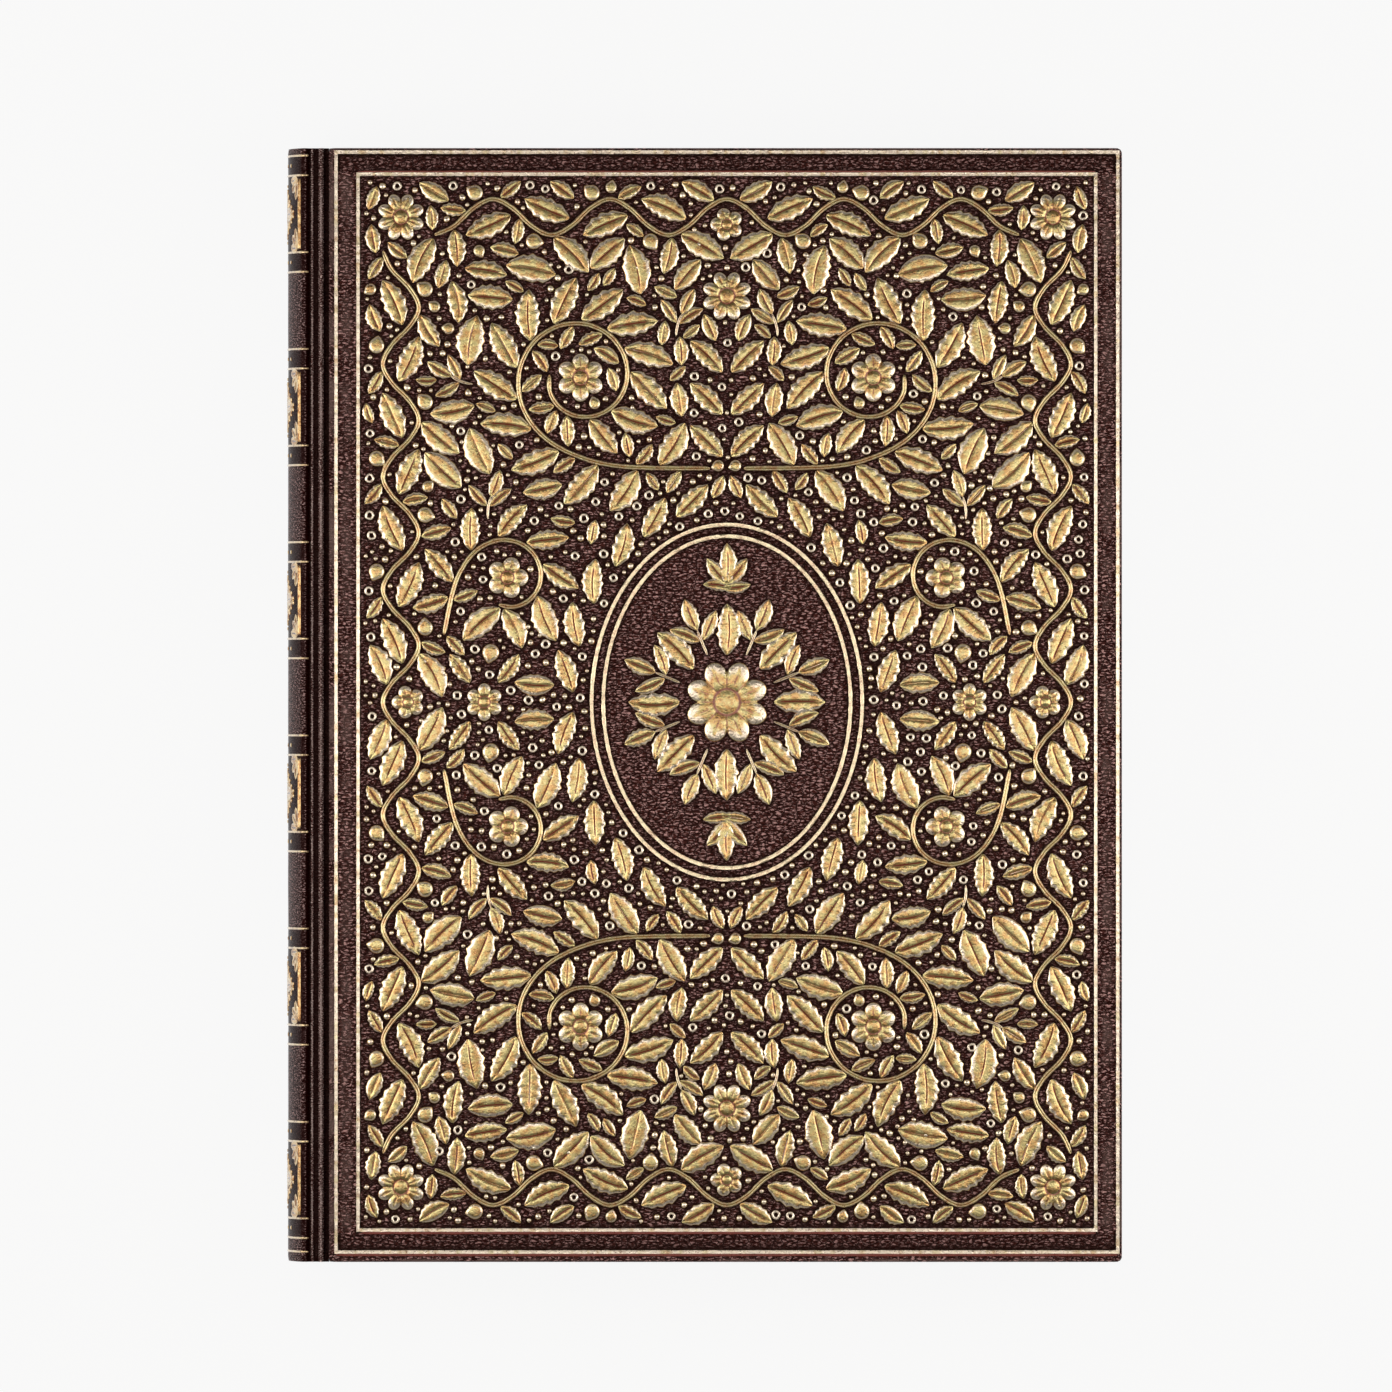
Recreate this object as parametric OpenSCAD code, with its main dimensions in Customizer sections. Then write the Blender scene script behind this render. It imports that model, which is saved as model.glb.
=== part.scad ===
/* [Book] */
// Height of the boards, head to tail
book_h = 210; // [190:1:230]
// Width over all, spine to fore edge
book_w = 157.6; // [146:0.2:170]
// Thickness of the sewn leaves
text_t = 17.6; // [14:0.2:22]
// Overhang of the boards past the leaves
square_w = 3; // [2:0.5:4]

/* [Covers] */
// Thickness of a board's core
board_t = 2.6; // [2:0.1:3.5]
// Thickness of the leather outside the boards
leather_t = 0.7; // [0.5:0.05:0.9]
// Thickness of the pared turn-ins and of the pastedown between them
turn_in_t = 0.4; // [0.3:0.05:0.6]
// Width of the turn-ins on the inner faces
turn_in_w = 14; // [10:1:18]
// Rounding of the covered board edges
edge_r = 0.4; // [0.2:0.05:0.5]
// Rounding of the covered board edge beside the groove
joint_edge_r = 0.9; // [0.4:0.05:1]
// Rounding of the board corners seen from above
corner_r = 1; // [0.6:0.1:1.5]
// Gap between each cover and the leaves when the book is shut
closing_gap = 0.1; // [0.05:0.05:0.2]
// Thickness of each free endpaper
flyleaf_t = 0.2; // [0.15:0.05:0.3]

/* [Spine] */
// How far the rounded spine swells between its two rims
spine_round = 2.6; // [1.8:0.1:2.8]
// Height that each rim takes up beside the board surface
rim_inset = 1.9; // [1.8:0.1:2.6]
// Radius of the rolled rims
rim_r = 0.8; // [0.7:0.05:1.1]
// Distance from the spine's crest to the first valley of the groove
spine_depth = 4.2; // [3.8:0.1:4.6]
// Distance from the first valley of the groove to the board
groove_w = 3.75; // [3.2:0.05:4.5]
// Depth of the groove below the board surface
groove_depth = 2.25; // [1.6:0.05:2.6]
// Height of the bead in the groove
bead_h = 0.9; // [0.4:0.05:1.2]
// Half width of the bead
bead_half_w = 0.9; // [0.6:0.05:1.1]
// Height of the fine ridge beside the spine
ridge_h = 0.3; // [0.1:0.05:0.5]
// Half width of the fine ridge
ridge_half_w = 0.4; // [0.3:0.05:0.5]
// Distance of the fine ridge from the first valley
ridge_in = 0.55; // [0.5:0.05:0.7]
// Distance of the bead from the board
bead_in = 1.5; // [1.2:0.05:1.6]
// Thickness of the card inside the spine leather
stiffener_t = 0.8; // [0.5:0.1:1.1]
// Thickness of the paper that lines the back
lining_t = 0.3; // [0.2:0.05:0.5]
// Thickness of the open cloth glued to the back
mull_t = 0.4; // [0.3:0.05:0.6]
// Half round size of the head and tail bands
band_r = 0.75; // [0.5:0.05:0.9]
// Distance of the head and tail bands from the layers on the back
band_in = 0.3; // [0.2:0.05:0.5]

/* [Gilt front] */
// Half width and half height of the field that the sizes below are drawn for
drawn_field = [69.2, 99.7]; // [60:0.1:110]
// Height of the gilt relief on the front board
gilt_t = 0.45; // [0.2:0.05:0.6]
// Width of a fillet of the frame
fillet_w = 0.7; // [0.5:0.05:0.9]
// Distance of the outer fillet's middle from the fore edge and the head
fillet_edge = 0.8; // [0.8:0.1:1.2]
// How much further the stamping sits from the spine edge and the tail
stamp_shift = 0.55; // [0:0.05:0.8]
// Distance between the outer and the inner fillet
fillet_step = 4.15; // [3.5:0.05:5]
// Width of the vine border inside the frame
border_w = 15.5; // [14.5:0.1:16]
// Swing of the border vine to each side of its middle
vine_swing = 3.4; // [3:0.1:3.6]
// Distance of the vine's ends from the middle of a corner
corner_gap = 6.4; // [6:0.1:7]
// Place of a border leaf's foot along and across its hollow
vine_foot = [3.3, 0.3]; // [0.2:0.1:3.4]
// Place of a border bud along and across its wave
vine_bud = [3.4, 4.6]; // [3:0.1:5]
// Width of the stems
stem_w = 0.9; // [0.7:0.05:1]
// Length of a leaf
leaf_l = 10; // [8.5:0.1:10.2]
// Width of a leaf
leaf_w = 4.9; // [4:0.1:5]
// Outer radius, eye radius and lead-in of the four large scrolls
upper_scroll = [14, 5.9, 16]; // [5:0.1:18]
// Outer radius, eye radius and lead-in of the four small scrolls
lower_scroll = [8.2, 5.4, 8]; // [5:0.1:9]
// Half width and half height of the oval medallion
medallion = [26, 34]; // [20:0.5:38]
// Distance between the medallion's two rings
ring_step = 2.2; // [1.6:0.1:3]
// Distance of the leaf wreath from the medallion
wreath_gap = 3.2; // [3:0.1:3.6]
// Distance of the star's leaves from the medallion's middle
star_gap = 9; // [8.6:0.1:10]
// Distance of the first pair of leaves on the upright axis from the middle
axis_from = 46.6; // [46:0.1:47]
// Distance between two pairs of leaves on the upright axis
axis_step = 8; // [7.6:0.1:8.2]
// Distance of the axis blossoms from the middle, across and upright
axis_blossom = [46, 77]; // [45:0.5:78]
// Distance of the four small leaves from a side blossom
side_gap = 4.6; // [4.2:0.1:5]
// Distance of the corner fans from the inner corner of the border
fan_in = 1.5; // [1:0.1:2]
// Radius of the circle that a fan's leaves stand on
fan_r = 3; // [2.6:0.1:3.4]
// Radius of the blossoms
blossom_r = 4; // [3:0.1:4.1]
// Radius of the buds
bud_r = 1.5; // [1.2:0.05:1.6]
// Width of the vein slit in a leaf
vein_w = 0.5; // [0.3:0.05:0.6]
// Gap between a leaf's foot and the stem that it belongs to
leaf_gap = 0.3; // [0.2:0.05:0.4]

/* [Gilt spine] */
// Height of the gilding on the spine
spine_gilt_t = 0.15; // [0.1:0.05:0.25]
// Number of ornamented compartments
panel_count = 6; // [4:1:7]
// Length of a compartment along the spine
panel_l = 13.4; // [12:0.2:16]
// How much nearer to the head the spine's stamping sits
spine_shift = 1.55; // [0:0.05:1.8]
// Gap between a compartment and the fillet beside it
panel_gap = 0.36; // [0.2:0.02:0.6]
// Width of a compartment's side bars
panel_bar_w = 1.1; // [0.8:0.1:1.5]
// Length and width of the lozenge in a compartment
lozenge = [9.2, 14.8]; // [7:0.2:16]
// Length and width of the four corner pieces in a compartment
corner_piece = [3.4, 4.2]; // [2.6:0.1:5]
// Share of its size that a corner piece reaches along its slope
corner_waist = 0.55; // [0.52:0.01:0.7]
// Distance between the middles of two compartments
panel_pitch = 36.45; // [28:0.05:38]
// Width of the dotted band on each side of a compartment
dot_band_w = 3.69; // [3:0.03:4.5]
// Size of a dot in the bands, from corner to corner
dot_w = 0.9; // [0.6:0.05:1.1]
// Width of a fillet across the spine
spine_fillet_w = 0.4; // [0.3:0.05:0.7]

/* [Hidden] */

// Heights, from the table up
cover_t = leather_t + board_t + turn_in_t;
text_z = cover_t + closing_gap + flyleaf_t;
book_t = 2 * text_z + text_t;
mid_z = book_t / 2;
front_z = book_t - cover_t;

// Places across the book
right_x = book_w / 2;
crest_x = spine_gilt_t - book_w / 2;
valley_x = crest_x + spine_depth;
board_x = valley_x + groove_w;
text_x = right_x - square_w;
text_y = book_h / 2 - square_w;
groove_z = book_t - groove_depth;

// Rounded spine: its radius, its middle and the half angles of its arcs
shoulder = book_t / 2 - rim_inset;
spine_r = (shoulder ^ 2 + spine_round ^ 2) / (2 * spine_round);
spine_x = crest_x + spine_r;
outer_a = asin(shoulder / spine_r);
back_r = spine_r - leather_t - stiffener_t - lining_t - mull_t;
inner_a = asin(text_t / 2 / back_r);
ARC_STEPS = 6;

// Field of the gilt front and the scale of its ornament
frame_lo = [board_x + fillet_edge + stamp_shift, fillet_edge + stamp_shift * 2 - book_h / 2];
frame_hi = [right_x - fillet_edge, book_h / 2 - fillet_edge];
field_c = (frame_lo + frame_hi) / 2;
field = (frame_hi - frame_lo) / 2 - [1, 1] * (fillet_step + fillet_w / 2);
orn = min(field[0] / drawn_field[0], field[1] / drawn_field[1]);
inner_field = field - [1, 1] * border_w * orn;
vine = field - [1, 1] * border_w * orn / 2;

// Smooth bump of unit height between -1 and 1
function bump(q) = abs(q) < 1 ? cos(90 * q) ^ 2 : 0;
function unit(v) = v / norm(v);
function left_of(v) = [-v[1], v[0]];
function at_angle(a) = [cos(a), sin(a)];
function backwards(p) = [for (i = [len(p) - 1:-1:0]) p[i]];

// Points of an arc of the rounded spine in X and Z, from its lower to its upper end
function spine_arc(r, a) =
    [for (i = [0:ARC_STEPS]) let (t = a * (2 * i / ARC_STEPS - 1))
        [spine_x - r * cos(t), mid_z + r * sin(t)]];

// Shell between two arcs of the spine
function spine_shell(r_out, r_in, a) = concat(spine_arc(r_out, a), backwards(spine_arc(r_in, a)));

// Extrudes an outline drawn in X and Z along the book, centred on its height
module along_y(length) {
    translate([0, length / 2, 0]) rotate([90, 0, 0]) linear_extrude(length) children();
}

// Extrudes an outline drawn in Y and Z across the book, from one X to another
module along_x(from, to) {
    translate([from, 0, 0]) rotate([90, 0, 90]) linear_extrude(to - from) children();
}

// The same piece for the back cover, as far below the middle as the front one is above it
module turned_under() {
    translate([0, 0, mid_z]) mirror([0, 0, 1]) translate([0, 0, -mid_z]) children();
}

// Sewn leaves: rounded back and hollow fore edge
module text_block() {
    back = spine_arc(back_r, inner_a);
    shift = text_x - back[0][0];
    color("wheat") along_y(2 * text_y)
        polygon(concat(back, [for (p = backwards(back)) p + [shift, 0]]));
}

// Free endpaper on the front of the leaves
module flyleaf() {
    x = spine_x - back_r * cos(inner_a);
    translate([x, -text_y, mid_z + text_t / 2]) cube([text_x - x, 2 * text_y, flyleaf_t]);
}

module front_flyleaf() {
    color("linen") flyleaf();
}

module back_flyleaf() {
    color("linen") turned_under() flyleaf();
}

// Layers glued to the back, from the leaves outwards
module mull() {
    color("gainsboro") along_y(2 * text_y)
        polygon(spine_shell(back_r + mull_t, back_r, inner_a));
}

module spine_lining() {
    r = back_r + mull_t;
    color("burlywood") along_y(2 * text_y) polygon(spine_shell(r + lining_t, r, inner_a));
}

module spine_stiffener() {
    r = spine_r - leather_t;
    color("tan") along_y(book_h - 2 * turn_in_t)
        polygon(spine_shell(r, r - stiffener_t, inner_a));
}

// Half round band that stands on the leaves' end along the back
module end_band() {
    r = back_r - band_r - band_in;
    profile = [for (i = [0:8]) [r, 0] + band_r * [cos(i * 22.5), 1.6 * sin(i * 22.5)]];
    translate([spine_x, text_y, mid_z]) rotate([-90, 0, 0])
        rotate([0, 0, 180 - inner_a]) rotate_extrude(angle = 2 * inner_a, $fn = 96)
            polygon(profile);
}

module head_band() {
    color("darkred") end_band();
}

module tail_band() {
    color("darkred") mirror([0, 1, 0]) end_band();
}

// Rolled rim above the rounded back, from the shoulder down to the groove's first valley
function rim() =
    let (middle = [spine_x - (spine_r - rim_r) * cos(outer_a),
                   mid_z + (spine_r - rim_r) * sin(outer_a)],
         last = middle + rim_r * at_angle(45))
    concat([for (i = [1:7]) middle + rim_r * at_angle(180 - outer_a - i * (135 - outer_a) / 7)],
           [[(last[0] + valley_x) / 2, (last[1] + 2 * groove_z) / 3], [valley_x, groove_z]]);

// Mirrors a point of the spine's section to the other side of its middle
function under(p) = [p[0], 2 * mid_z - p[1]];

// Spine leather with its head and tail turned over the stiffener
module spine_leather() {
    upper = rim();
    outer = concat([for (p = backwards(upper)) under(p)], spine_arc(spine_r, outer_a), upper);
    inner = concat([[valley_x, groove_z - leather_t]],
                   backwards(spine_arc(spine_r - leather_t, inner_a)),
                   [under([valley_x, groove_z - leather_t])]);
    color("saddlebrown") along_y(book_h) polygon(concat(outer, inner));
}

// Part of the spine's gilding: what an outline in Y and Z leaves of a skin on the rounded back
module spine_skin() {
    intersection() {
        along_y(book_h) polygon(spine_shell(spine_r + spine_gilt_t, spine_r, outer_a));
        along_x(crest_x - spine_gilt_t - 1, spine_x) children();
    }
}

// Middle of a compartment along the spine
function panel_y(i) = (i - (panel_count - 1) / 2) * panel_pitch + spine_shift;

// Distances of a compartment's two fillets and of its row of dots from its middle
near_fillet = panel_l / 2 + panel_gap + spine_fillet_w / 2;
far_fillet = near_fillet + dot_band_w;
dot_row = (near_fillet + far_fillet) / 2;

// Rectangle in Y and Z about a place along the spine
module spine_patch(y, size) {
    translate([y, mid_z]) square(size, center = true);
}

// Ornament of one compartment: two side bars, a lozenge and four corner pieces
module spine_panel() {
    bar_z = shoulder - panel_bar_w / 2;
    inner = [panel_l / 2, shoulder - panel_bar_w];
    for (s = [-1, 1]) translate([0, s * bar_z]) square([panel_l, panel_bar_w], center = true);
    scale(lozenge / 2) polygon([[1, 0], [0, 1], [-1, 0], [0, -1]]);
    for (sx = [0, 1], sy = [0, 1]) mirror([sx, 0]) mirror([0, sy])
        polygon([inner, inner - [corner_piece[0], 0], inner - corner_piece * corner_waist,
                 inner - [0, corner_piece[1]]]);
}

module spine_gilt_panels() {
    color("goldenrod") for (i = [0:panel_count - 1])
        spine_skin() translate([panel_y(i), mid_z]) spine_panel();
}

// Fillets beside each compartment and beyond its dotted bands, and one at the tail
module spine_gilt_fillets() {
    size = [spine_fillet_w, book_t];
    color("gold") spine_skin() {
        spine_patch(frame_lo[1], size);
        for (i = [0:panel_count - 1], s = [-1, 1], d = [near_fillet, far_fillet])
            spine_patch(panel_y(i) + s * d, size);
    }
}

// Row of dots in each dotted band, one on each flat of the spine but the outermost
module spine_gilt_dots() {
    flat_a = 2 * outer_a / ARC_STEPS;
    last = (ARC_STEPS - 3) / 2;
    color("gold") spine_skin()
        for (i = [0:panel_count - 1], s = [-1, 1], k = [-last:last])
            translate([panel_y(i) + s * dot_row, mid_z + spine_r * sin(k * flat_a)])
                circle(d = dot_w, $fn = 4);
}

// Height of the joint leather across the groove, with its ridge and its bead
function groove_top(x) =
    groove_z
    + ridge_h * bump((x - valley_x - ridge_in) / ridge_half_w)
    + bead_h * bump((x - board_x + bead_in) / bead_half_w);

// Flexing leather between the spine and the front board
module joint_leather() {
    steps = 20;
    top = [for (i = [0:steps]) let (x = valley_x + i * groove_w / steps) [x, groove_top(x)]];
    along_y(book_h)
        polygon(concat(top, [[board_x, groove_z - leather_t], [valley_x, groove_z - leather_t]]));
}

module front_joint_leather() {
    color("saddlebrown") joint_leather();
}

module back_joint_leather() {
    color("saddlebrown") turned_under() joint_leather();
}

// Rectangle from one corner to another with its upper corners rounded, the left one by left_r
function crowned(lo, hi, left_r, r) =
    concat([lo, [hi[0], lo[1]]],
           [for (i = [0:4]) [hi[0] - r, hi[1] - r] + r * at_angle(i * 22.5)],
           [for (i = [4:8]) [lo[0] + left_r, hi[1] - left_r] + left_r * at_angle(i * 22.5)]);

// Rectangle with four rounded corners
function rounded(lo, hi, r) =
    [for (c = [[1, 1, 0], [0, 1, 90], [0, 0, 180], [1, 0, 270]], i = [0:4])
        [c[0] > 0 ? hi[0] - r : lo[0] + r, c[1] > 0 ? hi[1] - r : lo[1] + r]
        + r * at_angle(c[2] + i * 22.5)];

// Core of the front board
module board() {
    x = board_x + leather_t;
    translate([x, leather_t - book_h / 2, front_z + turn_in_t])
        cube([right_x - leather_t - x, book_h - 2 * leather_t, board_t]);
}

// Paper pasted inside the front cover, between the turn-ins
module pastedown() {
    x = board_x + leather_t;
    translate([x, turn_in_w - book_h / 2, front_z])
        cube([right_x - turn_in_w - x, book_h - 2 * turn_in_w, turn_in_t]);
}

// Leather round the front board, turned in at head, tail and fore edge
module cover_leather() {
    half = book_h / 2;
    difference() {
        intersection() {
            along_y(book_h)
                polygon(crowned([board_x, front_z], [right_x, book_t], joint_edge_r, edge_r));
            along_x(board_x, right_x)
                polygon(crowned([-half, front_z], [half, book_t], edge_r, edge_r));
            translate([0, 0, front_z]) linear_extrude(cover_t)
                polygon(rounded([board_x, -half], [right_x, half], corner_r));
        }
        board();
        pastedown();
    }
}

module front_board() {
    color("gray") board();
}

module back_board() {
    color("gray") turned_under() board();
}

module front_leather() {
    color("saddlebrown") cover_leather();
}

module back_leather() {
    color("saddlebrown") turned_under() cover_leather();
}

module front_pastedown() {
    color("linen") pastedown();
}

module back_pastedown() {
    color("linen") turned_under() pastedown();
}

// Raises a flat outline about the field's middle from the front leather
module gilt() {
    color("gold") translate([field_c[0], field_c[1], book_t]) linear_extrude(gilt_t) children();
}

// The same outlines in all four quarters of the field
module in_quarters() {
    for (sx = [0, 1], sy = [0, 1]) mirror([sx, 0]) mirror([0, sy]) children();
}

// Band along a line of points, as wide as a stem
function ribbon(p, w) =
    let (n = len(p) - 1,
         side = [for (i = [0:n]) left_of(unit(p[min(i + 1, n)] - p[max(i - 1, 0)])) * w / 2])
    concat([for (i = [0:n]) p[i] + side[i]], [for (i = [n:-1:0]) p[i] - side[i]]);

// One side of a leaf, as shares of its length and width
LEAF_SIDE = [[0.2, 0.44], [0.58, 0.46]];

// Leaf with a vein slit, from its base along a direction
module leaf(base, a, size = 1) {
    l = leaf_l * orn * size;
    w = leaf_w * orn * size;
    side = [for (s = LEAF_SIDE) [s[0] * l, s[1] * w]];
    translate(base) rotate(a)
        polygon(concat([[0, vein_w / 2]], side, [[l, 0]],
                       [for (p = backwards(side)) [p[0], -p[1]]],
                       [[0, -vein_w / 2], [0.62 * l, 0]]));
}

// Blossom with a given number of petals, each two points wide
module blossom(place, r, petals = 6) {
    step = 360 / petals;
    shape = [[-0.3, 1], [0.3, 1], [0.5, 0.68]];
    translate(place)
        polygon([for (i = [0:petals - 1], s = shape) s[1] * r * at_angle((i + s[0]) * step)]);
}

// Bud with four corners
module bud(place) {
    translate(place) circle(r = bud_r * orn, $fn = 4);
}

// Frame of a given half size about a centre
module fillet_ring(half) {
    difference() {
        square(2 * half + [1, 1] * fillet_w, center = true);
        square(2 * half - [1, 1] * fillet_w, center = true);
    }
}

module front_gilt_frame() {
    outer = (frame_hi - frame_lo) / 2;
    gilt() {
        fillet_ring(outer);
        fillet_ring(outer - [1, 1] * fillet_step);
    }
}

// Border vine: half waves from a side's middle to its corner, and the length of one
waves = [5, 8];
half_wave = [for (k = [0, 1]) (vine[k] - corner_gap * orn) / waves[k]];

// Swing of the vine at a distance from the middle of side k
function vine_at(k, u) = vine_swing * orn * cos(180 * u / half_wave[k]);

// A point given along and across side k: 0 is the head and tail, 1 the spine and fore edge
function on_side(k, u, v) = k == 0 ? [u, vine[1] + v] : [vine[0] + v, u];

// Vine along side k
module vine_stem(k) {
    step = half_wave[k] / 3;
    polygon(ribbon([for (i = [-3 * waves[k]:3 * waves[k]]) on_side(k, i * step, vine_at(k, i * step))],
                   stem_w * orn));
}

// Scroll: centre as shares of the field, sizes, first angle, whole turn and length of the lead-in
UPPER = [[0.399, 0.617], upper_scroll, 215, 510, 26];
LOWER = [[0.598, 0.2367], lower_scroll, 318, 330, 26];

function scroll_c(s) = [s[0][0] * field[0], s[0][1] * field[1]];
function scroll_r(s, t) =
    (s[1][1] + (s[1][0] - s[1][1]) * (1 - t / s[3]) + s[1][2] * exp(-t / s[4])) * orn;
function scroll_at(s, t) = scroll_c(s) + scroll_r(s, t) * at_angle(s[2] + t);

module scroll_stem(s) {
    polygon(ribbon([for (t = [0:30:s[3]]) scroll_at(s, t)], stem_w * orn));
}

// Leaves outside a scroll at given turns from its start
module scroll_leaves(s, turns, lean, size) {
    for (t = turns) {
        a = s[2] + t;
        base = scroll_c(s) + (scroll_r(s, t) + (stem_w / 2 + leaf_gap) * orn) * at_angle(a);
        leaf(base, a + lean, size);
    }
}

module front_gilt_stems() {
    gilt() {
        for (s = [0, 1]) {
            mirror([0, s]) vine_stem(0);
            mirror([s, 0]) vine_stem(1);
        }
        in_quarters() {
            scroll_stem(UPPER);
            scroll_stem(LOWER);
        }
    }
}

// Side of the vine on which hollow i lies
function hollow(i) = i % 2 == 0 ? -1 : 1;

// Leaf in each hollow of the vine along side k, leaning towards the corner
module vine_leaves(k) {
    lean = 24;
    for (i = [1:waves[k] - 1]) {
        s = hollow(i);
        foot = on_side(k, i * half_wave[k] - vine_foot[0] * orn, -s * vine_foot[1] * orn);
        leaf(foot, k == 0 ? s * lean : 90 - s * lean, 0.92);
    }
}

// Points of the wreath: an oval outside the medallion
wreath = (medallion + [1, 1] * wreath_gap) * orn;
function wreath_at(a) = [wreath[0] * cos(a), wreath[1] * sin(a)];
function wreath_dir(a) = atan2(wreath[1] * cos(a), -wreath[0] * sin(a));

// Fan of leaves in each inner corner of the field
module corner_leaves() {
    corner = inner_field - [1, 1] * fan_in * orn;
    for (a = [-36, 36]) leaf(corner - fan_r * orn * at_angle(45 + a), 225 + a, 0.8);
}

module front_gilt_leaves() {
    upper_turns = [for (i = [0:10]) 44 + i * 27.5];
    lower_turns = [for (i = [0:4]) 38 + i * 41];
    wreath_turns = [for (i = [0:5]) 3 + i * 13.6];
    gilt() in_quarters() {
        vine_leaves(0);
        vine_leaves(1);
        scroll_leaves(UPPER, upper_turns, 52, 0.96);
        scroll_leaves(LOWER, lower_turns, 54, 0.8);
        for (a = wreath_turns) leaf(wreath_at(a), wreath_dir(a) - 22, 0.84);
        for (i = [0:2]) leaf([stem_w, axis_from + i * axis_step] * orn, 44, 0.84);
        for (a = [-36, 36])
            leaf([axis_blossom[0] - side_gap * sin(a), side_gap * cos(a)] * orn, 90 + a, 0.66);
        corner_leaves();
    }
    gilt() for (a = [0:45:315]) leaf(star_gap * orn * at_angle(a), a, 0.96);
}

module front_gilt_blossoms() {
    r = blossom_r * orn;
    side = vine - [1, 1] * 0.35 * r;
    gilt() {
        in_quarters() {
            blossom(vine, r * 1.15, 8);
            blossom(scroll_c(UPPER), r * 1.15);
            blossom(scroll_c(LOWER), r, 5);
        }
        for (s = [-1, 1]) {
            blossom([0, s * axis_blossom[1] * orn], r * 1.2, 8);
            blossom([s * axis_blossom[0] * orn, 0], r * 0.9);
            blossom([0, s * side[1]], r * 0.8, 5);
            blossom([s * side[0], 0], r * 0.8, 5);
        }
        blossom([0, 0], r * 2, 8);
    }
}

module front_gilt_buds() {
    gilt() in_quarters() for (k = [0, 1], i = [1:waves[k] - 1])
        bud(on_side(k, i * half_wave[k] + vine_bud[0] * orn, -hollow(i) * vine_bud[1] * orn));
}

module oval(half, n) {
    polygon([for (i = [0:n - 1]) [half[0] * cos(i * 360 / n), half[1] * sin(i * 360 / n)]]);
}

module front_gilt_medallion() {
    steps = 24;
    half = medallion * orn;
    gilt() for (inset = [0, ring_step]) difference() {
        oval(half - [1, 1] * inset, steps);
        oval(half - [1, 1] * (inset + fillet_w), steps);
    }
}

text_block();
front_flyleaf();
back_flyleaf();
mull();
spine_lining();
spine_stiffener();
head_band();
tail_band();
spine_leather();
spine_gilt_panels();
spine_gilt_fillets();
spine_gilt_dots();
front_joint_leather();
back_joint_leather();
front_board();
front_leather();
front_pastedown();
front_gilt_frame();
front_gilt_stems();
front_gilt_leaves();
front_gilt_blossoms();
front_gilt_buds();
front_gilt_medallion();
back_board();
back_leather();
back_pastedown();
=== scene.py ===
import math

import bmesh
import bpy
import numpy as np
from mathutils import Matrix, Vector, kdtree


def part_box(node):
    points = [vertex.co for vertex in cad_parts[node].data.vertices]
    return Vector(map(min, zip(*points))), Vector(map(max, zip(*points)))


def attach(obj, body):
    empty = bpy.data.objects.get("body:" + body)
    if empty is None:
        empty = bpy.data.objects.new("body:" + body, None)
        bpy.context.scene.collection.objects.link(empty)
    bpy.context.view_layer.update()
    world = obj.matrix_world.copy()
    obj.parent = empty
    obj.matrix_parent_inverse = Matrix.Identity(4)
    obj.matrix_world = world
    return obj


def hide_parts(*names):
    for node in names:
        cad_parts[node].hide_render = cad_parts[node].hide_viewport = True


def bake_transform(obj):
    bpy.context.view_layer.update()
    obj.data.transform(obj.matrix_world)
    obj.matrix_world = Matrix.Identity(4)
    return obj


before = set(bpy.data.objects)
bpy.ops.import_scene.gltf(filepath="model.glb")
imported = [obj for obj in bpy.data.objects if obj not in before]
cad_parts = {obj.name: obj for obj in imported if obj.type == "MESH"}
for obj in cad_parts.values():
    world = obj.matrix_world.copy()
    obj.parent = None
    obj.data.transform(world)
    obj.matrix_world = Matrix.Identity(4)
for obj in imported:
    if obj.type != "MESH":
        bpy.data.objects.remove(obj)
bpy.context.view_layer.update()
scene = bpy.context.scene
rng = np.random.default_rng(1847)
MM = 0.001
SKIRT = 0.02  # how far the edge of a stamped shape reaches below its foot, in mm


def box_mm(node):
    """Lowest and highest corner of a CAD node, in mm."""
    lo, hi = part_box(node)
    return np.array(lo) / MM, np.array(hi) / MM


# Sizes, read from the CAD nodes wherever they show there

front_lo, front_hi = box_mm("front_leather")
back_lo, back_hi = box_mm("back_leather")
joint_lo, joint_hi = box_mm("front_joint_leather")
top_z = front_hi[2]
mid_z = top_z / 2
half_y = front_hi[1]
valley_x, board_x = joint_lo[0], joint_hi[0]
crest_x = box_mm("spine_leather")[0][0]
LEATHER_T, TURN_IN_T, TURN_IN_W, EDGE_R, CORNER_R, SPINE_CORNER_R = 0.7, 0.4, 14.0, 0.4, 1.0, 0.3
SPINE_ROUND, RIM_INSET, RIM_R = 2.6, 1.9, 0.8
groove_z = joint_lo[2] + LEATHER_T
shoulder = mid_z - RIM_INSET
spine_r = (shoulder ** 2 + SPINE_ROUND ** 2) / (2 * SPINE_ROUND)
spine_x = crest_x + spine_r
outer_a = math.asin(shoulder / spine_r)


# Meshes

def new_object(name, data):
    obj = bpy.data.objects.new(name, data)
    scene.collection.objects.link(obj)
    return obj


def lengths(v):
    return np.linalg.norm(v, axis=1)


def unit(a):
    return np.array([math.cos(a), math.sin(a)])


def circle(n):
    a = np.linspace(0, 2 * np.pi, n, endpoint=False)
    return np.stack([np.cos(a), np.sin(a)], -1)


def smooth(t):
    t = np.clip(t, 0, 1)
    return t * t * (3 - 2 * t)


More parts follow.
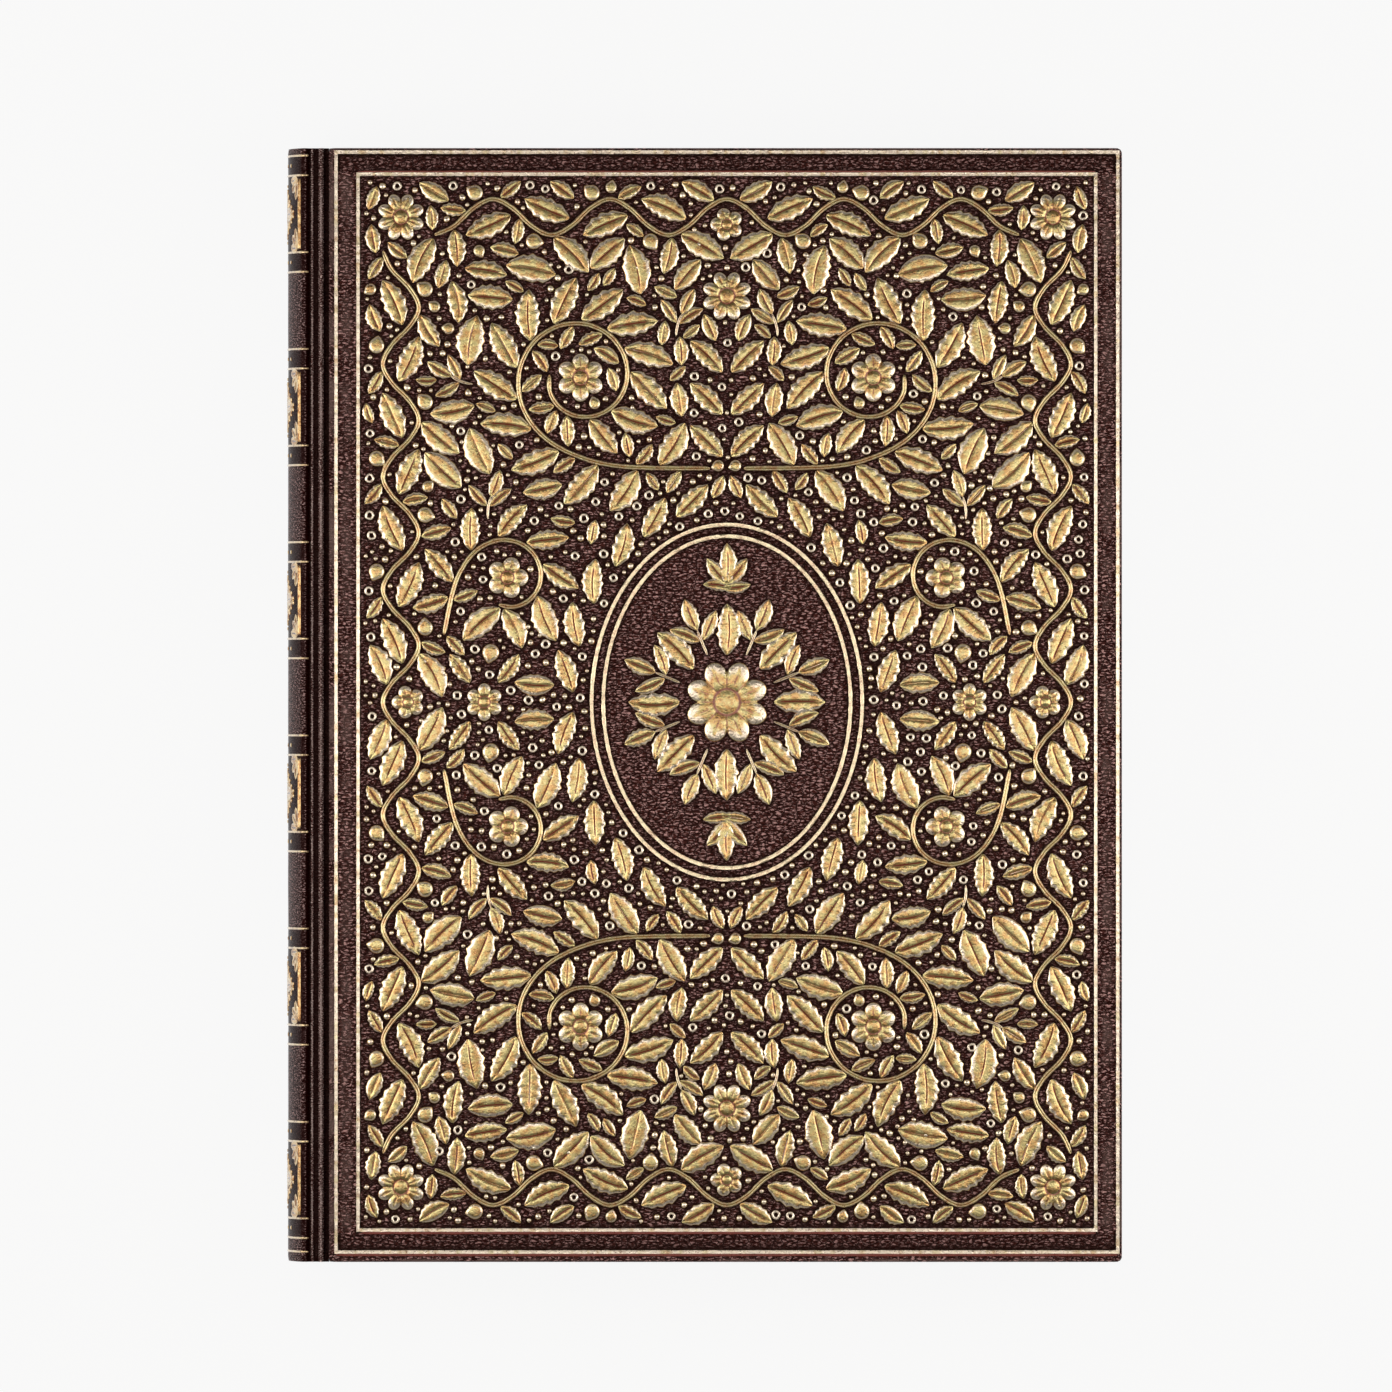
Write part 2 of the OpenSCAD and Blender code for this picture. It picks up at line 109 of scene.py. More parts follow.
def grid_faces(rows, cols, wrap=False):
    """Quads of a grid of rows by cols points. With wrap, the last column joins the first."""
    r, c = np.meshgrid(np.arange(rows - 1), np.arange(cols if wrap else cols - 1), indexing="ij")
    d = (c + 1) % cols
    quads = [r * cols + c, r * cols + d, (r + 1) * cols + d, (r + 1) * cols + c]
    return np.stack(quads, -1).reshape(-1, 4)


def capped(rows, cols):
    """Faces of a tube of points that is closed at both ends."""
    ends = [list(range(cols)), list(range((rows - 1) * cols, rows * cols))]
    return grid_faces(rows, cols, True).tolist() + ends


def looped(rows, cols):
    """Faces of a tube of points whose last row joins the first."""
    return grid_faces(rows + 1, cols, True) % (rows * cols)


def fan(rho, nt):
    """Radius and angle of each point of a round shape."""
    return np.meshgrid(rho, np.arange(nt) * 2 * np.pi / nt, indexing="ij")


def round_about(x, y, rad, ang):
    return x + rad * np.cos(ang), y + rad * np.sin(ang)


class Pile:
    """The points, the faces, the tone and the laid-flat place of one piece, gathered in mm."""

    def __init__(self, foot=0.0):
        self.co, self.tone, self.flat, self.faces, self.n, self.foot = [], [], [], [], 0, foot

    def add(self, co, faces, tone, flat=None):
        co = np.asarray(co, float).reshape(-1, 3)
        self.co.append(co)
        self.tone.append(np.ones(len(co)) * np.asarray(tone, float).ravel())
        self.flat.append(co[:, :2] if flat is None else np.asarray(flat, float).reshape(-1, 2))
        faces = faces if isinstance(faces, list) else faces.tolist()
        self.faces += [[i + self.n for i in f] for f in faces]
        self.n += len(co)

    def points(self):
        return np.concatenate(self.co)

    def stamp(self, x, y, h, high, edge, faces, tone):
        """A shape of heights between 0 and 1 over the foot, with its edge a little below."""
        z = self.foot + (high - self.foot) * h - SKIRT * edge
        self.add(np.stack([x, y, z], -1), faces, tone)

    def build(self, name, body, material, place, replaces, slot, sharp=70):
        co = self.points()
        if place is not None:
            co = place(co)
        mesh = bpy.data.meshes.new(name)
        mesh.from_pydata((co * MM).tolist(), [], self.faces)
        bm = bmesh.new()
        bm.from_mesh(mesh)
        bmesh.ops.recalc_face_normals(bm, faces=bm.faces)
        bm.to_mesh(mesh)
        bm.free()
        mesh.polygons.foreach_set("use_smooth", np.ones(len(mesh.polygons), bool))
        mesh.set_sharp_from_angle(angle=math.radians(sharp))
        tone = mesh.attributes.new("tone", "FLOAT", "POINT")
        tone.data.foreach_set("value", np.concatenate(self.tone).astype(np.float32))
        flat = mesh.attributes.new("flat", "FLOAT_VECTOR", "POINT")
        laid = np.pad(np.concatenate(self.flat), ((0, 0), (0, 1)))
        flat.data.foreach_set("vector", laid.astype(np.float32).ravel())
        mesh.materials.append(material)
        obj = new_object(name, mesh)
        if body:
            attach(obj, body)
        if replaces:
            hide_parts(*replaces)
        return obj


def leaves(pile, spots, high, nu=20, lobes=5):
    """Domed, lobed leaves with a vein slit. Each spot is x, y, angle, length and width."""
    side = np.array([0, 0.045, 0.1, 0.19, 0.42, 0.64, 0.8, 0.91, 1.0])
    v = np.concatenate([-side[:0:-1], side])
    u = np.linspace(0.0, 1.0, nu + 1)
    cols = len(v)
    rim = (list(range(cols)) + [r * cols + cols - 1 for r in range(1, nu + 1)]
        + [nu * cols + c for c in range(cols - 2, -1, -1)] + [r * cols for r in range(nu - 1, 0, -1)])
    faces = grid_faces(nu + 1, cols).tolist() + [rim]
    vv, uu = np.meshgrid(v, u)
    a = np.abs(vv)
    for x, y, ang, length, width in spots:
        bend = rng.uniform(-0.06, 0.06) * length
        count = lobes - 0.5 + rng.integers(0, 2)
        ph = np.where(vv < 0, *rng.uniform(0, 1, 2))
        saw = (count * uu + ph) % 1.0
        tooth = np.where(saw < 0.68, saw / 0.68, (1 - saw) / 0.32) - 0.5
        body = np.sin(np.pi * np.clip(uu, 0.004, 0.996) ** 0.82) ** 0.68
        half = 0.5 * (width * 1.06) * body * (1 + 0.27 * tooth * smooth(uu / 0.1) * smooth((1 - uu) / 0.08))
        along = uu * length + 0.07 * length * a ** 1.5 * np.sin(np.pi * uu)
        across = vv * half + bend * np.sin(np.pi * uu)
        dome = (1 - a ** 4.0) ** 0.6
        valley = 1 - 0.22 * np.exp(-(a / 0.24) ** 2)
        slit = np.exp(-(a * half / 0.14) ** 2) * smooth((uu - 0.06) / 0.1) * smooth((0.86 - uu) / 0.12)
        pillow = 1 + 0.22 * np.cos(2 * np.pi * (saw - 0.62)) * smooth((a - 0.2) / 0.4)
        tilt = 1 + vv * rng.uniform(-0.22, 0.22) + (uu - 0.5) * rng.uniform(-0.4, 0.3)
        rise = smooth(uu / 0.08) * smooth((1 - uu) / 0.08)
        h = dome * valley * pillow * tilt * (0.25 + 0.75 * rise) * (1 - 0.86 * slit)
        h = h * (1 + 0.05 * rng.normal(size=h.shape))
        h = np.where(a > 0.999, 0, np.minimum(h / 1.2, 1))
        c, s = math.cos(ang), math.sin(ang)
        # Painted light and shade: the tone climbs towards the cream rim colour near the edge, drops to
        # painted shade at the foot, and the slit is painted dark
        rim_light_foot_shade = np.where(a > 0.999, 0.25, 1 + 0.7 * smooth((a - 0.55) / 0.25))
        pile.stamp(x + along * c - across * s, y + along * s + across * c, h, high, a > 0.999,
            faces, (1 - 0.95 * slit) * rim_light_foot_shade)


ROUND_BAND = [(-1, 0), (-0.86, 0.5), (-0.55, 0.86), (-0.2, 1), (0.2, 1), (0.55, 0.86), (0.86, 0.5), (1, 0)]
FLAT_BAND = [(-1, 0), (-0.97, 0.75), (-0.88, 1), (-0.3, 0.97), (0.3, 0.97), (0.88, 1), (0.97, 0.75), (1, 0)]
GROOVED = [(-1, 0), (-0.88, 0.55), (-0.6, 0.95), (-0.28, 0.9), (0, 0.5),
    (0.28, 0.9), (0.6, 0.95), (0.88, 0.55), (1, 0)]


def smooth_path(p, step=0.5, closed=False):
    """Smooth curve through points, at about one step's spacing."""
    p = np.asarray(p, float)
    n = len(p)
    out = []
    for i in range(n if closed else n - 1):
        if closed:
            q = [p[(i + k) % n] for k in (-1, 0, 1, 2)]
        else:
            q = [p[max(i - 1, 0)], p[i], p[i + 1], p[min(i + 2, n - 1)]]
        m = max(2, int(round(np.linalg.norm(q[2] - q[1]) / step)))
        t = (np.arange(m) / m)[:, None]
        out.append(0.5 * (2 * q[1] + (q[2] - q[0]) * t + (2 * q[0] - 5 * q[1] + 4 * q[2] - q[3]) * t ** 2
            + (3 * q[1] - q[0] - 3 * q[2] + q[3]) * t ** 3))
    if not closed:
        out.append(p[-1:])
    return np.concatenate(out)


def sweep(pile, path, width, high, profile=GROOVED, closed=False, jitter=0.05, taper=1.2, tone=1.0):
    """A raised line along a path, in the plane of the ornament."""
    n, k = len(path), len(profile)
    d = np.roll(path, -1, 0) - np.roll(path, 1, 0) if closed else np.gradient(path, axis=0)
    d /= lengths(d)[:, None]
    side = np.stack([-d[:, 1], d[:, 0]], -1)
    w = width / 2 * (1 + jitter * rng.normal(size=n))
    hh = high * (1 + jitter * rng.normal(size=n))
    if not closed and taper:
        run = np.concatenate([[0], np.cumsum(lengths(np.diff(path, axis=0)))])
        end = np.minimum(run, run[-1] - run) / taper
        thin = 0.35 + 0.65 * np.sqrt(np.clip(end, 0, 1))
        w, hh = w * thin, hh * thin
    prof = np.array(profile)
    co = np.zeros((n, k, 3))
    co[:, :, :2] = path[:, None, :] + side[:, None, :] * (prof[:, 0][None, :, None] * w[:, None, None])
    co[:, :, 2] = pile.foot + prof[:, 1][None, :] * hh[:, None] - SKIRT * (prof[:, 1] == 0)[None, :]
    t = np.ones((n, k)) * tone
    # Painted shade: the foot, and the middle groove of a grooved line, are darker
    t *= np.where(prof[:, 1] == 0, 0.5, 1)[None, :]
    if profile is GROOVED:
        t[:, k // 2] *= 0.55
    pile.add(co, looped(n, k) if closed else capped(n, k), t)


def mitred(pile, lo, hi, width, high, jitter=0.06):
    """A raised line round a rectangle, with square corners."""
    corners = np.array([[lo[0], lo[1]], [hi[0], lo[1]], [hi[0], hi[1]], [lo[0], hi[1]]])
    rows, prof = [], np.array(FLAT_BAND)
    last = np.array([1.0, 0.0])
    for i in range(4):
        a, b = corners[i], corners[(i + 1) % 4]
        long = np.linalg.norm(b - a)
        d = (b - a) / long
        inward = np.array([-d[1], d[0]])
        m = int(long / 0.6)
        for j in range(m):
            w = width / 2 * (1 + (jitter * rng.normal() if j else 0))
            across = inward if j else inward + last
            line = a + (b - a) * (j / m) + across * prof[:, :1] * w
            h = pile.foot + prof[:, 1] * high * (1 + jitter * rng.normal()) - SKIRT * (prof[:, 1] == 0)
            rows.append(np.concatenate([line, h[:, None]], 1))
        last = inward
    n, k = len(rows), len(prof)
    # Painted shade at the foot; painted highlight in cream beads of random tone along the line
    tone = np.tile(np.where(prof[:, 1] == 0, 0.4, 1.0), (n, 1)) * rng.uniform(1.3, 1.9, (n, 1))
    pile.add(np.array(rows), looped(n, k), tone)


def blossom(pile, x, y, r, petals, high, turn=0.0):
    """Round flower: grooved petals about a ringed boss."""
    rho = [0.03, 0.12, 0.2, 0.26, 0.31, 0.38, 0.5, 0.64, 0.78, 0.9, 0.97, 1.0]
    rr, tt = fan(rho, petals * 10)
    petal = np.abs(np.cos(petals * tt / 2))
    reach = np.where(rr > 0.31, 1 - 0.3 * (1 - petal ** 0.8) * smooth((rr - 0.31) / 0.6), 1)
    h = (1 - rr ** 5) ** 0.6 * (0.62 + 0.38 * petal ** 0.7)
    h = np.where(rr < 0.31, 0.55 + 0.4 * np.cos(rr / 0.27 * np.pi / 2), h)
    groove = np.exp(-((rr - 0.31) / 0.05) ** 2)
    h = h * (1 - 0.75 * groove)
    vein = np.exp(-((1 - petal) / 0.012) ** 2) * smooth((rr - 0.4) / 0.1) * smooth((0.85 - rr) / 0.1)
    h = h * (1 - 0.45 * vein)
    h = np.where(rr > 0.999, 0, h)
    between = smooth((0.25 - petal) / 0.25) * smooth((rr - 0.31) / 0.1)
    # Painted shade in the boss's groove, between petals, on the veins and at the foot; painted highlight
    # towards the petals' ends
    tone = ((1 - 0.7 * groove) * (1 - 0.65 * between) * (1 - 0.6 * vein)
        * np.where(rr > 0.98, 0.3, 1 + 0.6 * smooth((rr - 0.6) / 0.25)))
    pile.stamp(*round_about(x, y, rr * reach * r, tt + turn), h, high, rr > 0.999, capped(*rr.shape), tone)


def bud(pile, x, y, r, ang, high):
    """Plump bud with a pointed end."""
    rr, tt = fan([0.04, 0.3, 0.55, 0.75, 0.9, 1.0], 22)
    out = r * (1 + 0.34 * np.exp(-(np.angle(np.exp(1j * tt)) / 0.34) ** 2))
    h = np.where(rr > 0.999, 0, (1 - rr ** 3) ** 0.6) * (1 - 0.12 * rng.uniform(0, 1, rr.shape))
    # Painted shade at the foot, painted highlight in a cream ring near the edge
    tone = np.where(rr > 0.95, 0.3, np.where(rr > 0.7, 1.5, 1.0))
    pile.stamp(*round_about(x, y, rr * out, tt + ang), h, high, rr > 0.999, capped(*rr.shape), tone)


def dome(pile, x, y, r, high):
    """Small round dot."""
    rr, tt = fan([0.12, 0.7, 1.0], 8)
    tt = tt + rng.uniform(0, 1)
    out = r * (1 + 0.08 * rng.normal(size=8))
    h = np.sqrt(np.clip(1 - rr ** 2, 0, 1))
    # Painted shade at the foot, painted highlight in cream over the top
    tone = np.where(rr > 0.95, 0.3, 1.6)
    pile.stamp(*round_about(x, y, rr * out, tt), h, high, rr > 0.999, capped(*rr.shape), tone)


def ring(pile, x, y, r, band, high):
    """Small stamped ring about a dark hole."""
    prof = np.array([(-1, 0), (-0.75, 0.9), (0, 1), (0.75, 0.9), (1, 0)])
    th = (np.arange(12) * 2 * np.pi / 12)[:, None]
    wob = 1 + 0.05 * rng.normal(size=12)
    rad = (r - band / 2) * wob[:, None] + prof[:, 0] * band / 2
    edge = np.tile(prof[:, 1] == 0, (12, 1))
    h = np.tile(prof[:, 1], (12, 1))
    # Painted shade at the foot, painted highlight in cream on the band
    pile.stamp(*round_about(x, y, rad, th), h, high, edge, looped(*edge.shape), np.where(edge, 0.55, 1.7))


# Reading the ornament of the CAD nodes

def islands(node):
    """Corners of the top of each separate solid of a gilt node in mm, all points and its triangles."""
    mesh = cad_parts[node].data
    mesh.calc_loop_triangles()
    co = np.array([v.co for v in mesh.vertices]) / MM
    tri = np.array([t.vertices for t in mesh.loop_triangles])
    key = {}
    weld = np.array([key.setdefault(tuple(np.round(c, 3)), len(key)) for c in co])
    pts = np.zeros((len(key), 3))
    pts[weld] = co
    tri = weld[tri]
    top = pts[:, 2].max()
    tri = tri[np.all(pts[tri][:, :, 2] > top - 0.01, axis=1)]
    parent = list(range(len(pts)))

    def root(i):
        while parent[i] != i:
            parent[i] = parent[parent[i]]
            i = parent[i]
        return i

    for t in tri:
        for b in t[1:]:
            parent[root(b)] = root(t[0])
    groups = {}
    for t in tri:
        groups.setdefault(root(t[0]), []).append(t)
    pts = pts[:, :2]
    return [(pts[np.unique(g)], pts, np.array(g)) for g in groups.values()]


def outline(pts, tri):
    """The longest closed outline of a flat triangulation, as points in order."""
    seen = {}
    for t in tri:
        for a, b in zip(t, np.roll(t, -1)):
            if seen.pop((b, a), None) is None:
                seen[(a, b)] = True
    after = dict(list(seen))
    loops = []
    while after:
        start = next(iter(after))
        loop, at = [], start
        while at in after:
            loop.append(at)
            at = after.pop(at)
        loops.append(pts[loop])
    return max(loops, key=len)


def area_centre(pts, tri):
    a, b, c = (pts[tri[:, i]] for i in range(3))
    area = np.abs((b - a)[:, 0] * (c - a)[:, 1] - (b - a)[:, 1] * (c - a)[:, 0])
    return (((a + b + c) / 3) * area[:, None]).sum(0) / area.sum()


def leaf_spots(node):
    """Base, angle, length and width of each leaf of a CAD node."""
    spots = []
    for p, pts, tri in islands(node):
        c = area_centre(pts, tri)
        tip = p[np.argmax(lengths(p - c))]
        far = lengths(p - tip)
        base = p[far > far.max() - 0.25].mean(0)
        d = tip - base
        length = np.linalg.norm(d)
        d /= length
        wide = (p - base) @ np.array([-d[1], d[0]])
        spots.append((base[0], base[1], math.atan2(d[1], d[0]), length, wide.max() - wide.min()))
    return spots


def stem_paths(node):
    """Middle line of each ribbon of a CAD node."""
    paths = []
    for _, pts, tri in islands(node):
        loop = outline(pts, tri)
        n = len(loop)
        edge = lengths(np.roll(loop, -1, 0) - loop)
        loop = np.roll(loop, -1 - int(np.argmin(edge)), 0)
        half = n // 2
        paths.append((loop[:half] + loop[:half - 1 - n:-1][:half]) / 2)
    return paths


# Materials

class Graph:
    """A material's nodes. Inputs are numbers, colours or the outputs of other nodes."""

    def __init__(self, name):
        self.material = bpy.data.materials.new(name)
        self.material.use_nodes = True
        self.tree = self.material.node_tree
        self.tree.nodes.clear()

    def put(self, socket, v):
        if isinstance(v, bpy.types.NodeSocket):
            self.tree.links.new(v, socket)
        elif isinstance(v, tuple) and len(v) < len(socket.default_value):
            socket.default_value = (*v, 1.0)
        else:
            socket.default_value = v

    def add(self, kind, out=0, **values):
        """New node. Names with a capital and i with a number are inputs, and the rest are settings."""
        node = self.tree.nodes.new("ShaderNode" + kind)
        for k, v in values.items():
            if k[0].isupper():
                self.put(node.inputs[k.replace("_", " ")], v)
            elif k[1:].isdigit():
                self.put(node.inputs[int(k[1:])], v)
            else:
                setattr(node, k, v)
        return node.outputs[out]

    def plus(self, a, b):
        return self.add("Math", operation="ADD", i0=a, i1=b)

    def times(self, a, b):
        return self.add("Math", operation="MULTIPLY", i0=a, i1=b)

    def span(self, value, a, b, c=0.0, d=1.0):
        return self.add("MapRange", interpolation_type="SMOOTHSTEP",
            Value=value, From_Min=a, From_Max=b, To_Min=c, To_Max=d)

    def mix(self, factor, a, b):
        return self.add("Mix", out=2, data_type="RGBA", i0=factor, i6=a, i7=b)

    def coords(self, stretch=(1, 1, 1)):
        c = self.add("TexCoord", out=3)
        return self.add("Mapping", Vector=c, Scale=tuple(s / MM for s in stretch))

    def flat(self, stretch=(1, 1, 1)):
        """Place on the piece laid flat, in mm."""
        c = self.add("Attribute", out=1, attribute_name="flat")
        return self.add("Mapping", Vector=c, Scale=stretch)

    def tone(self):
        return self.add("Attribute", out=2, attribute_name="tone")

    def noise(self, vector, scale, detail=2.0, rough=0.5, dims="3D"):
        return self.add("TexNoise", noise_dimensions=dims,
            Vector=vector, Scale=scale, Detail=detail, Roughness=rough)

    def pebbles(self, vector, cell, warp):
        """Distance from the creases of a warped net of cells."""
        shift = self.add("TexNoise", out=1, noise_dimensions="2D", Vector=vector, Scale=0.5, Detail=1.0)
        shift = self.add("VectorMath", operation="SUBTRACT", i0=shift, i1=(0.5, 0.5, 0.5))
        shift = self.add("VectorMath", operation="SCALE", i0=shift, Scale=warp)
        shift = self.add("VectorMath", operation="ADD", i0=vector, i1=shift)
        return self.add("TexVoronoi", feature="DISTANCE_TO_EDGE", voronoi_dimensions="2D",
            Vector=shift, Scale=1 / cell, Randomness=1.0)

    def bump(self, strength, distance, height):
        return self.add("Bump", Strength=strength, Distance=distance * MM, Height=height)

    def finish(self, shader):
        self.put(self.tree.nodes.new("ShaderNodeOutputMaterial").inputs[0], shader)
        return self.material

    def surface(self, **inputs):
        return self.finish(self.add("BsdfPrincipled", **inputs))


def leather(name, deep, lit, glint, cell, depth, gloss, lighter_colour=None):
    """Pebbled leather: warped cells with painted shade in their creases, and short bright dashes on their
    tops that are a painted highlight.

    Tone below 1 turns it near-black, a painted shade, and above 1 mixes in the lighter colour in patches: a
    painted highlight on the joints' crests and along the front field's sides, and lighter towards the
    covers' edges. Without a lighter colour it is grain up to 1 and painted shade, near-black, above.
    """
    g = Graph(name)
    edge = g.pebbles(g.flat((0.8, 1.2, 1.0)), cell, 1.1)
    wrinkle = g.noise(g.flat((0.6, 1.5, 1.0)), 1.7, 3.0, 0.6, "2D")
    dash = g.noise(g.flat((0.85, 2.4, 1.0)), 1.15 / cell, 2.0, 0.6, "2D")
    patch = g.noise(g.flat(), 0.12, 2.0, 0.6, "2D")
    tone = g.tone()
    crease = g.span(edge, 0.0, 0.24)
    high = g.plus(g.times(crease, 0.6), g.times(wrinkle, 0.8))
    glint_dashes = g.times(g.span(dash, 0.485, 0.61), g.span(crease, 0.05, 0.5))
    if not lighter_colour:
        grained = g.span(tone, 0.0, 1.0, 0.12, 1.0)
        high, glint_dashes = g.times(high, grained), g.times(glint_dashes, grained)
    bump = g.bump(1.0, depth, g.plus(high, g.times(glint_dashes, 0.5)))
    # Painted shade: the deep colour in the creases and wrinkles, the lit colour on the tops, with random
    # patches
    shade = g.plus(g.times(high, 0.6), g.times(patch, 0.35))
    colour = g.mix(g.span(shade, 0.45, 1.05), deep, lit)
    # Painted highlight: the glint colour on the dashes
    colour = g.mix(glint_dashes, colour, glint)
    # Lighter colour in patches where tone is over 1: painted highlight on crests and side strips, and
    # lighter towards the edges
    if lighter_colour:
        lighter_share = g.times(g.span(tone, 1.02, 2.0), g.span(patch, 0.35, 0.7))
        colour = g.mix(lighter_share, colour, lighter_colour)
    # Painted shade: tone below 1, or above 2 without a lighter colour, turns the leather near-black
    colour = g.mix(g.span(tone, 1.0, 0.3 if lighter_colour else 2.0), colour, (0.010, 0.001, 0.0007))
    return g.surface(Normal=bump, Base_Color=colour, Roughness=g.plus(g.times(wrinkle, 0.16), 0.18),
        Specular_IOR_Level=gloss, Specular_Tint=(1.0, 0.72, 0.66))


def gold(name, base, pale, rim, shade, wear):
    """Foil on embossed leather: mottled faces, cream rims that are a painted highlight, dark brown feet and
    slits that are painted shade, and dark flecks where the foil is rubbed.
    """
    g = Graph(name)
    v = g.flat()
    tone = g.tone()
    cloud = g.noise(v, 0.55, 3.0, 0.65, "2D")
    grain = g.noise(v, 2.4, 3.0, 0.65, "2D")
    edge = g.pebbles(v, 0.85, 0.8)
    colour = g.mix(g.span(cloud, 0.36, 0.62), base, pale)
    # Painted highlight: tone from 1.1 to 1.7 turns the foil to the cream rim colour
    colour = g.mix(g.span(tone, 1.1, 1.7), colour, rim)
    rub = g.span(g.plus(g.times(grain, 0.6), g.times(cloud, 0.5)), 0.38, 0.52)
    # Low tone paints shade with the shade colour at feet, slits and grooves; the rub flecks show it where
    # the foil is worn
    foil_unshaded_unworn = g.times(g.span(tone, 0.25, 0.95), g.plus(g.times(rub, wear), 1 - wear))
    colour = g.mix(foil_unshaded_unworn, shade, colour)
    high = g.plus(g.times(g.span(edge, 0.0, 0.3), 0.5), grain)
    return g.surface(Normal=g.bump(0.8, 0.04, high), Base_Color=colour, Coat_Weight=0.8, Coat_Roughness=0.18,
        Metallic=g.span(foil_unshaded_unworn, 0.0, 0.6, 0.25, 1.0), Roughness=g.plus(g.times(grain, 0.2), 0.2))


def paper(name, dark, pale, layered):
    """Laid paper, or the edges of many leaves."""
    g = Graph(name)
    v = g.coords((0.02, 0.02, 6.0) if layered else (1, 1, 1))
    lines = g.noise(v, 1.0 if layered else 0.9, 4.0, 0.7)
    stain = g.noise(g.coords(), 0.05, 4.0, 0.6)
    fleck = g.noise(g.coords(), 1.6, 3.0, 0.6)
    both = g.plus(g.times(lines, 0.9 if layered else 0.3), g.times(stain, 0.7))
    both = g.plus(both, g.times(fleck, 0.2))
    colour = g.mix(g.span(both, 0.5, 1.15), dark, pale)
    bump = g.bump(0.6, 0.12 if layered else 0.03, lines)
    return g.surface(Normal=bump, Base_Color=colour, Roughness=0.85, Specular_IOR_Level=0.3)


def woven(name, dark, pale, step):
    """Cloth or silk thread, in bands of two colours."""
    g = Graph(name)
    c = g.coords()
    wave = g.add("TexWave", wave_type="BANDS", bands_direction="Z",
        Vector=c, Scale=1 / step / 3.2, Distortion=0.6, Detail=2.0)
    both = g.plus(g.times(wave, 0.8), g.times(g.noise(c, 0.2, 3.0, 0.6), 0.4))
    colour = g.mix(g.span(both, 0.4, 0.8), dark, pale)
    return g.surface(Normal=g.bump(0.7, 0.1, wave), Base_Color=colour, Roughness=0.7)


# The cover's lighter colour paints the highlight along the front field's sides and lightens the covers'
# edges in patches
front_skin = leather("cover_leather", (0.014, 0.0011, 0.0008), (0.066, 0.0135, 0.011),
    (0.50, 0.29, 0.285), cell=0.95, depth=0.3, gloss=0.16, lighter_colour=(0.175, 0.116, 0.108))
spine_skin = leather("spine_leather_grain", (0.013, 0.0025, 0.0025), (0.058, 0.020, 0.019),
    (0.40, 0.26, 0.26), cell=0.7, depth=0.2, gloss=0.015)
# The joint's lighter colour is the painted highlight on its ridge and bead
joint_skin = leather("joint_leather", (0.034, 0.010, 0.010), (0.25, 0.14, 0.132),
    (0.62, 0.48, 0.46), cell=0.6, depth=0.15, gloss=0.15, lighter_colour=(0.50, 0.41, 0.40))
front_gold = gold("cover_gilt", (0.55, 0.335, 0.12), (0.56, 0.475, 0.21), (0.90, 0.79, 0.66),
    (0.19, 0.026, 0.014), wear=0.4)
spine_gold = gold("spine_gilt", (0.50, 0.24, 0.07), (0.76, 0.52, 0.24), (0.88, 0.76, 0.52),
    (0.07, 0.012, 0.005), wear=0.7)
edges = paper("leaf_edges", (0.42, 0.32, 0.19), (0.80, 0.70, 0.52), True)
sheet = paper("end_paper", (0.56, 0.46, 0.31), (0.76, 0.68, 0.52), False)
lining = paper("lining_paper_brown", (0.26, 0.17, 0.09), (0.42, 0.30, 0.18), False)
board = paper("grey_card", (0.20, 0.18, 0.15), (0.34, 0.31, 0.26), True)
cloth = woven("open_cloth", (0.5, 0.47, 0.4), (0.78, 0.75, 0.68), 0.6)
silk = woven("band_silk_thread", (0.20, 0.012, 0.014), (0.62, 0.50, 0.30), 1.0)


# Covers

def waver(x, y, size, count, seed):
    """Slow uneven swell of a hand-laid skin, between -1 and 1."""
    r = np.random.default_rng(seed)
    out = np.zeros(np.shape(x))
    for _ in range(count):
        a, f, p = r.uniform(0, 2 * np.pi), r.uniform(0.6, 1.6) / size, r.uniform(0, 2 * np.pi)
        out = out + np.sin(2 * np.pi * f * (x * math.cos(a) + y * math.sin(a)) + p)
    return out / count ** 0.5 / 1.5


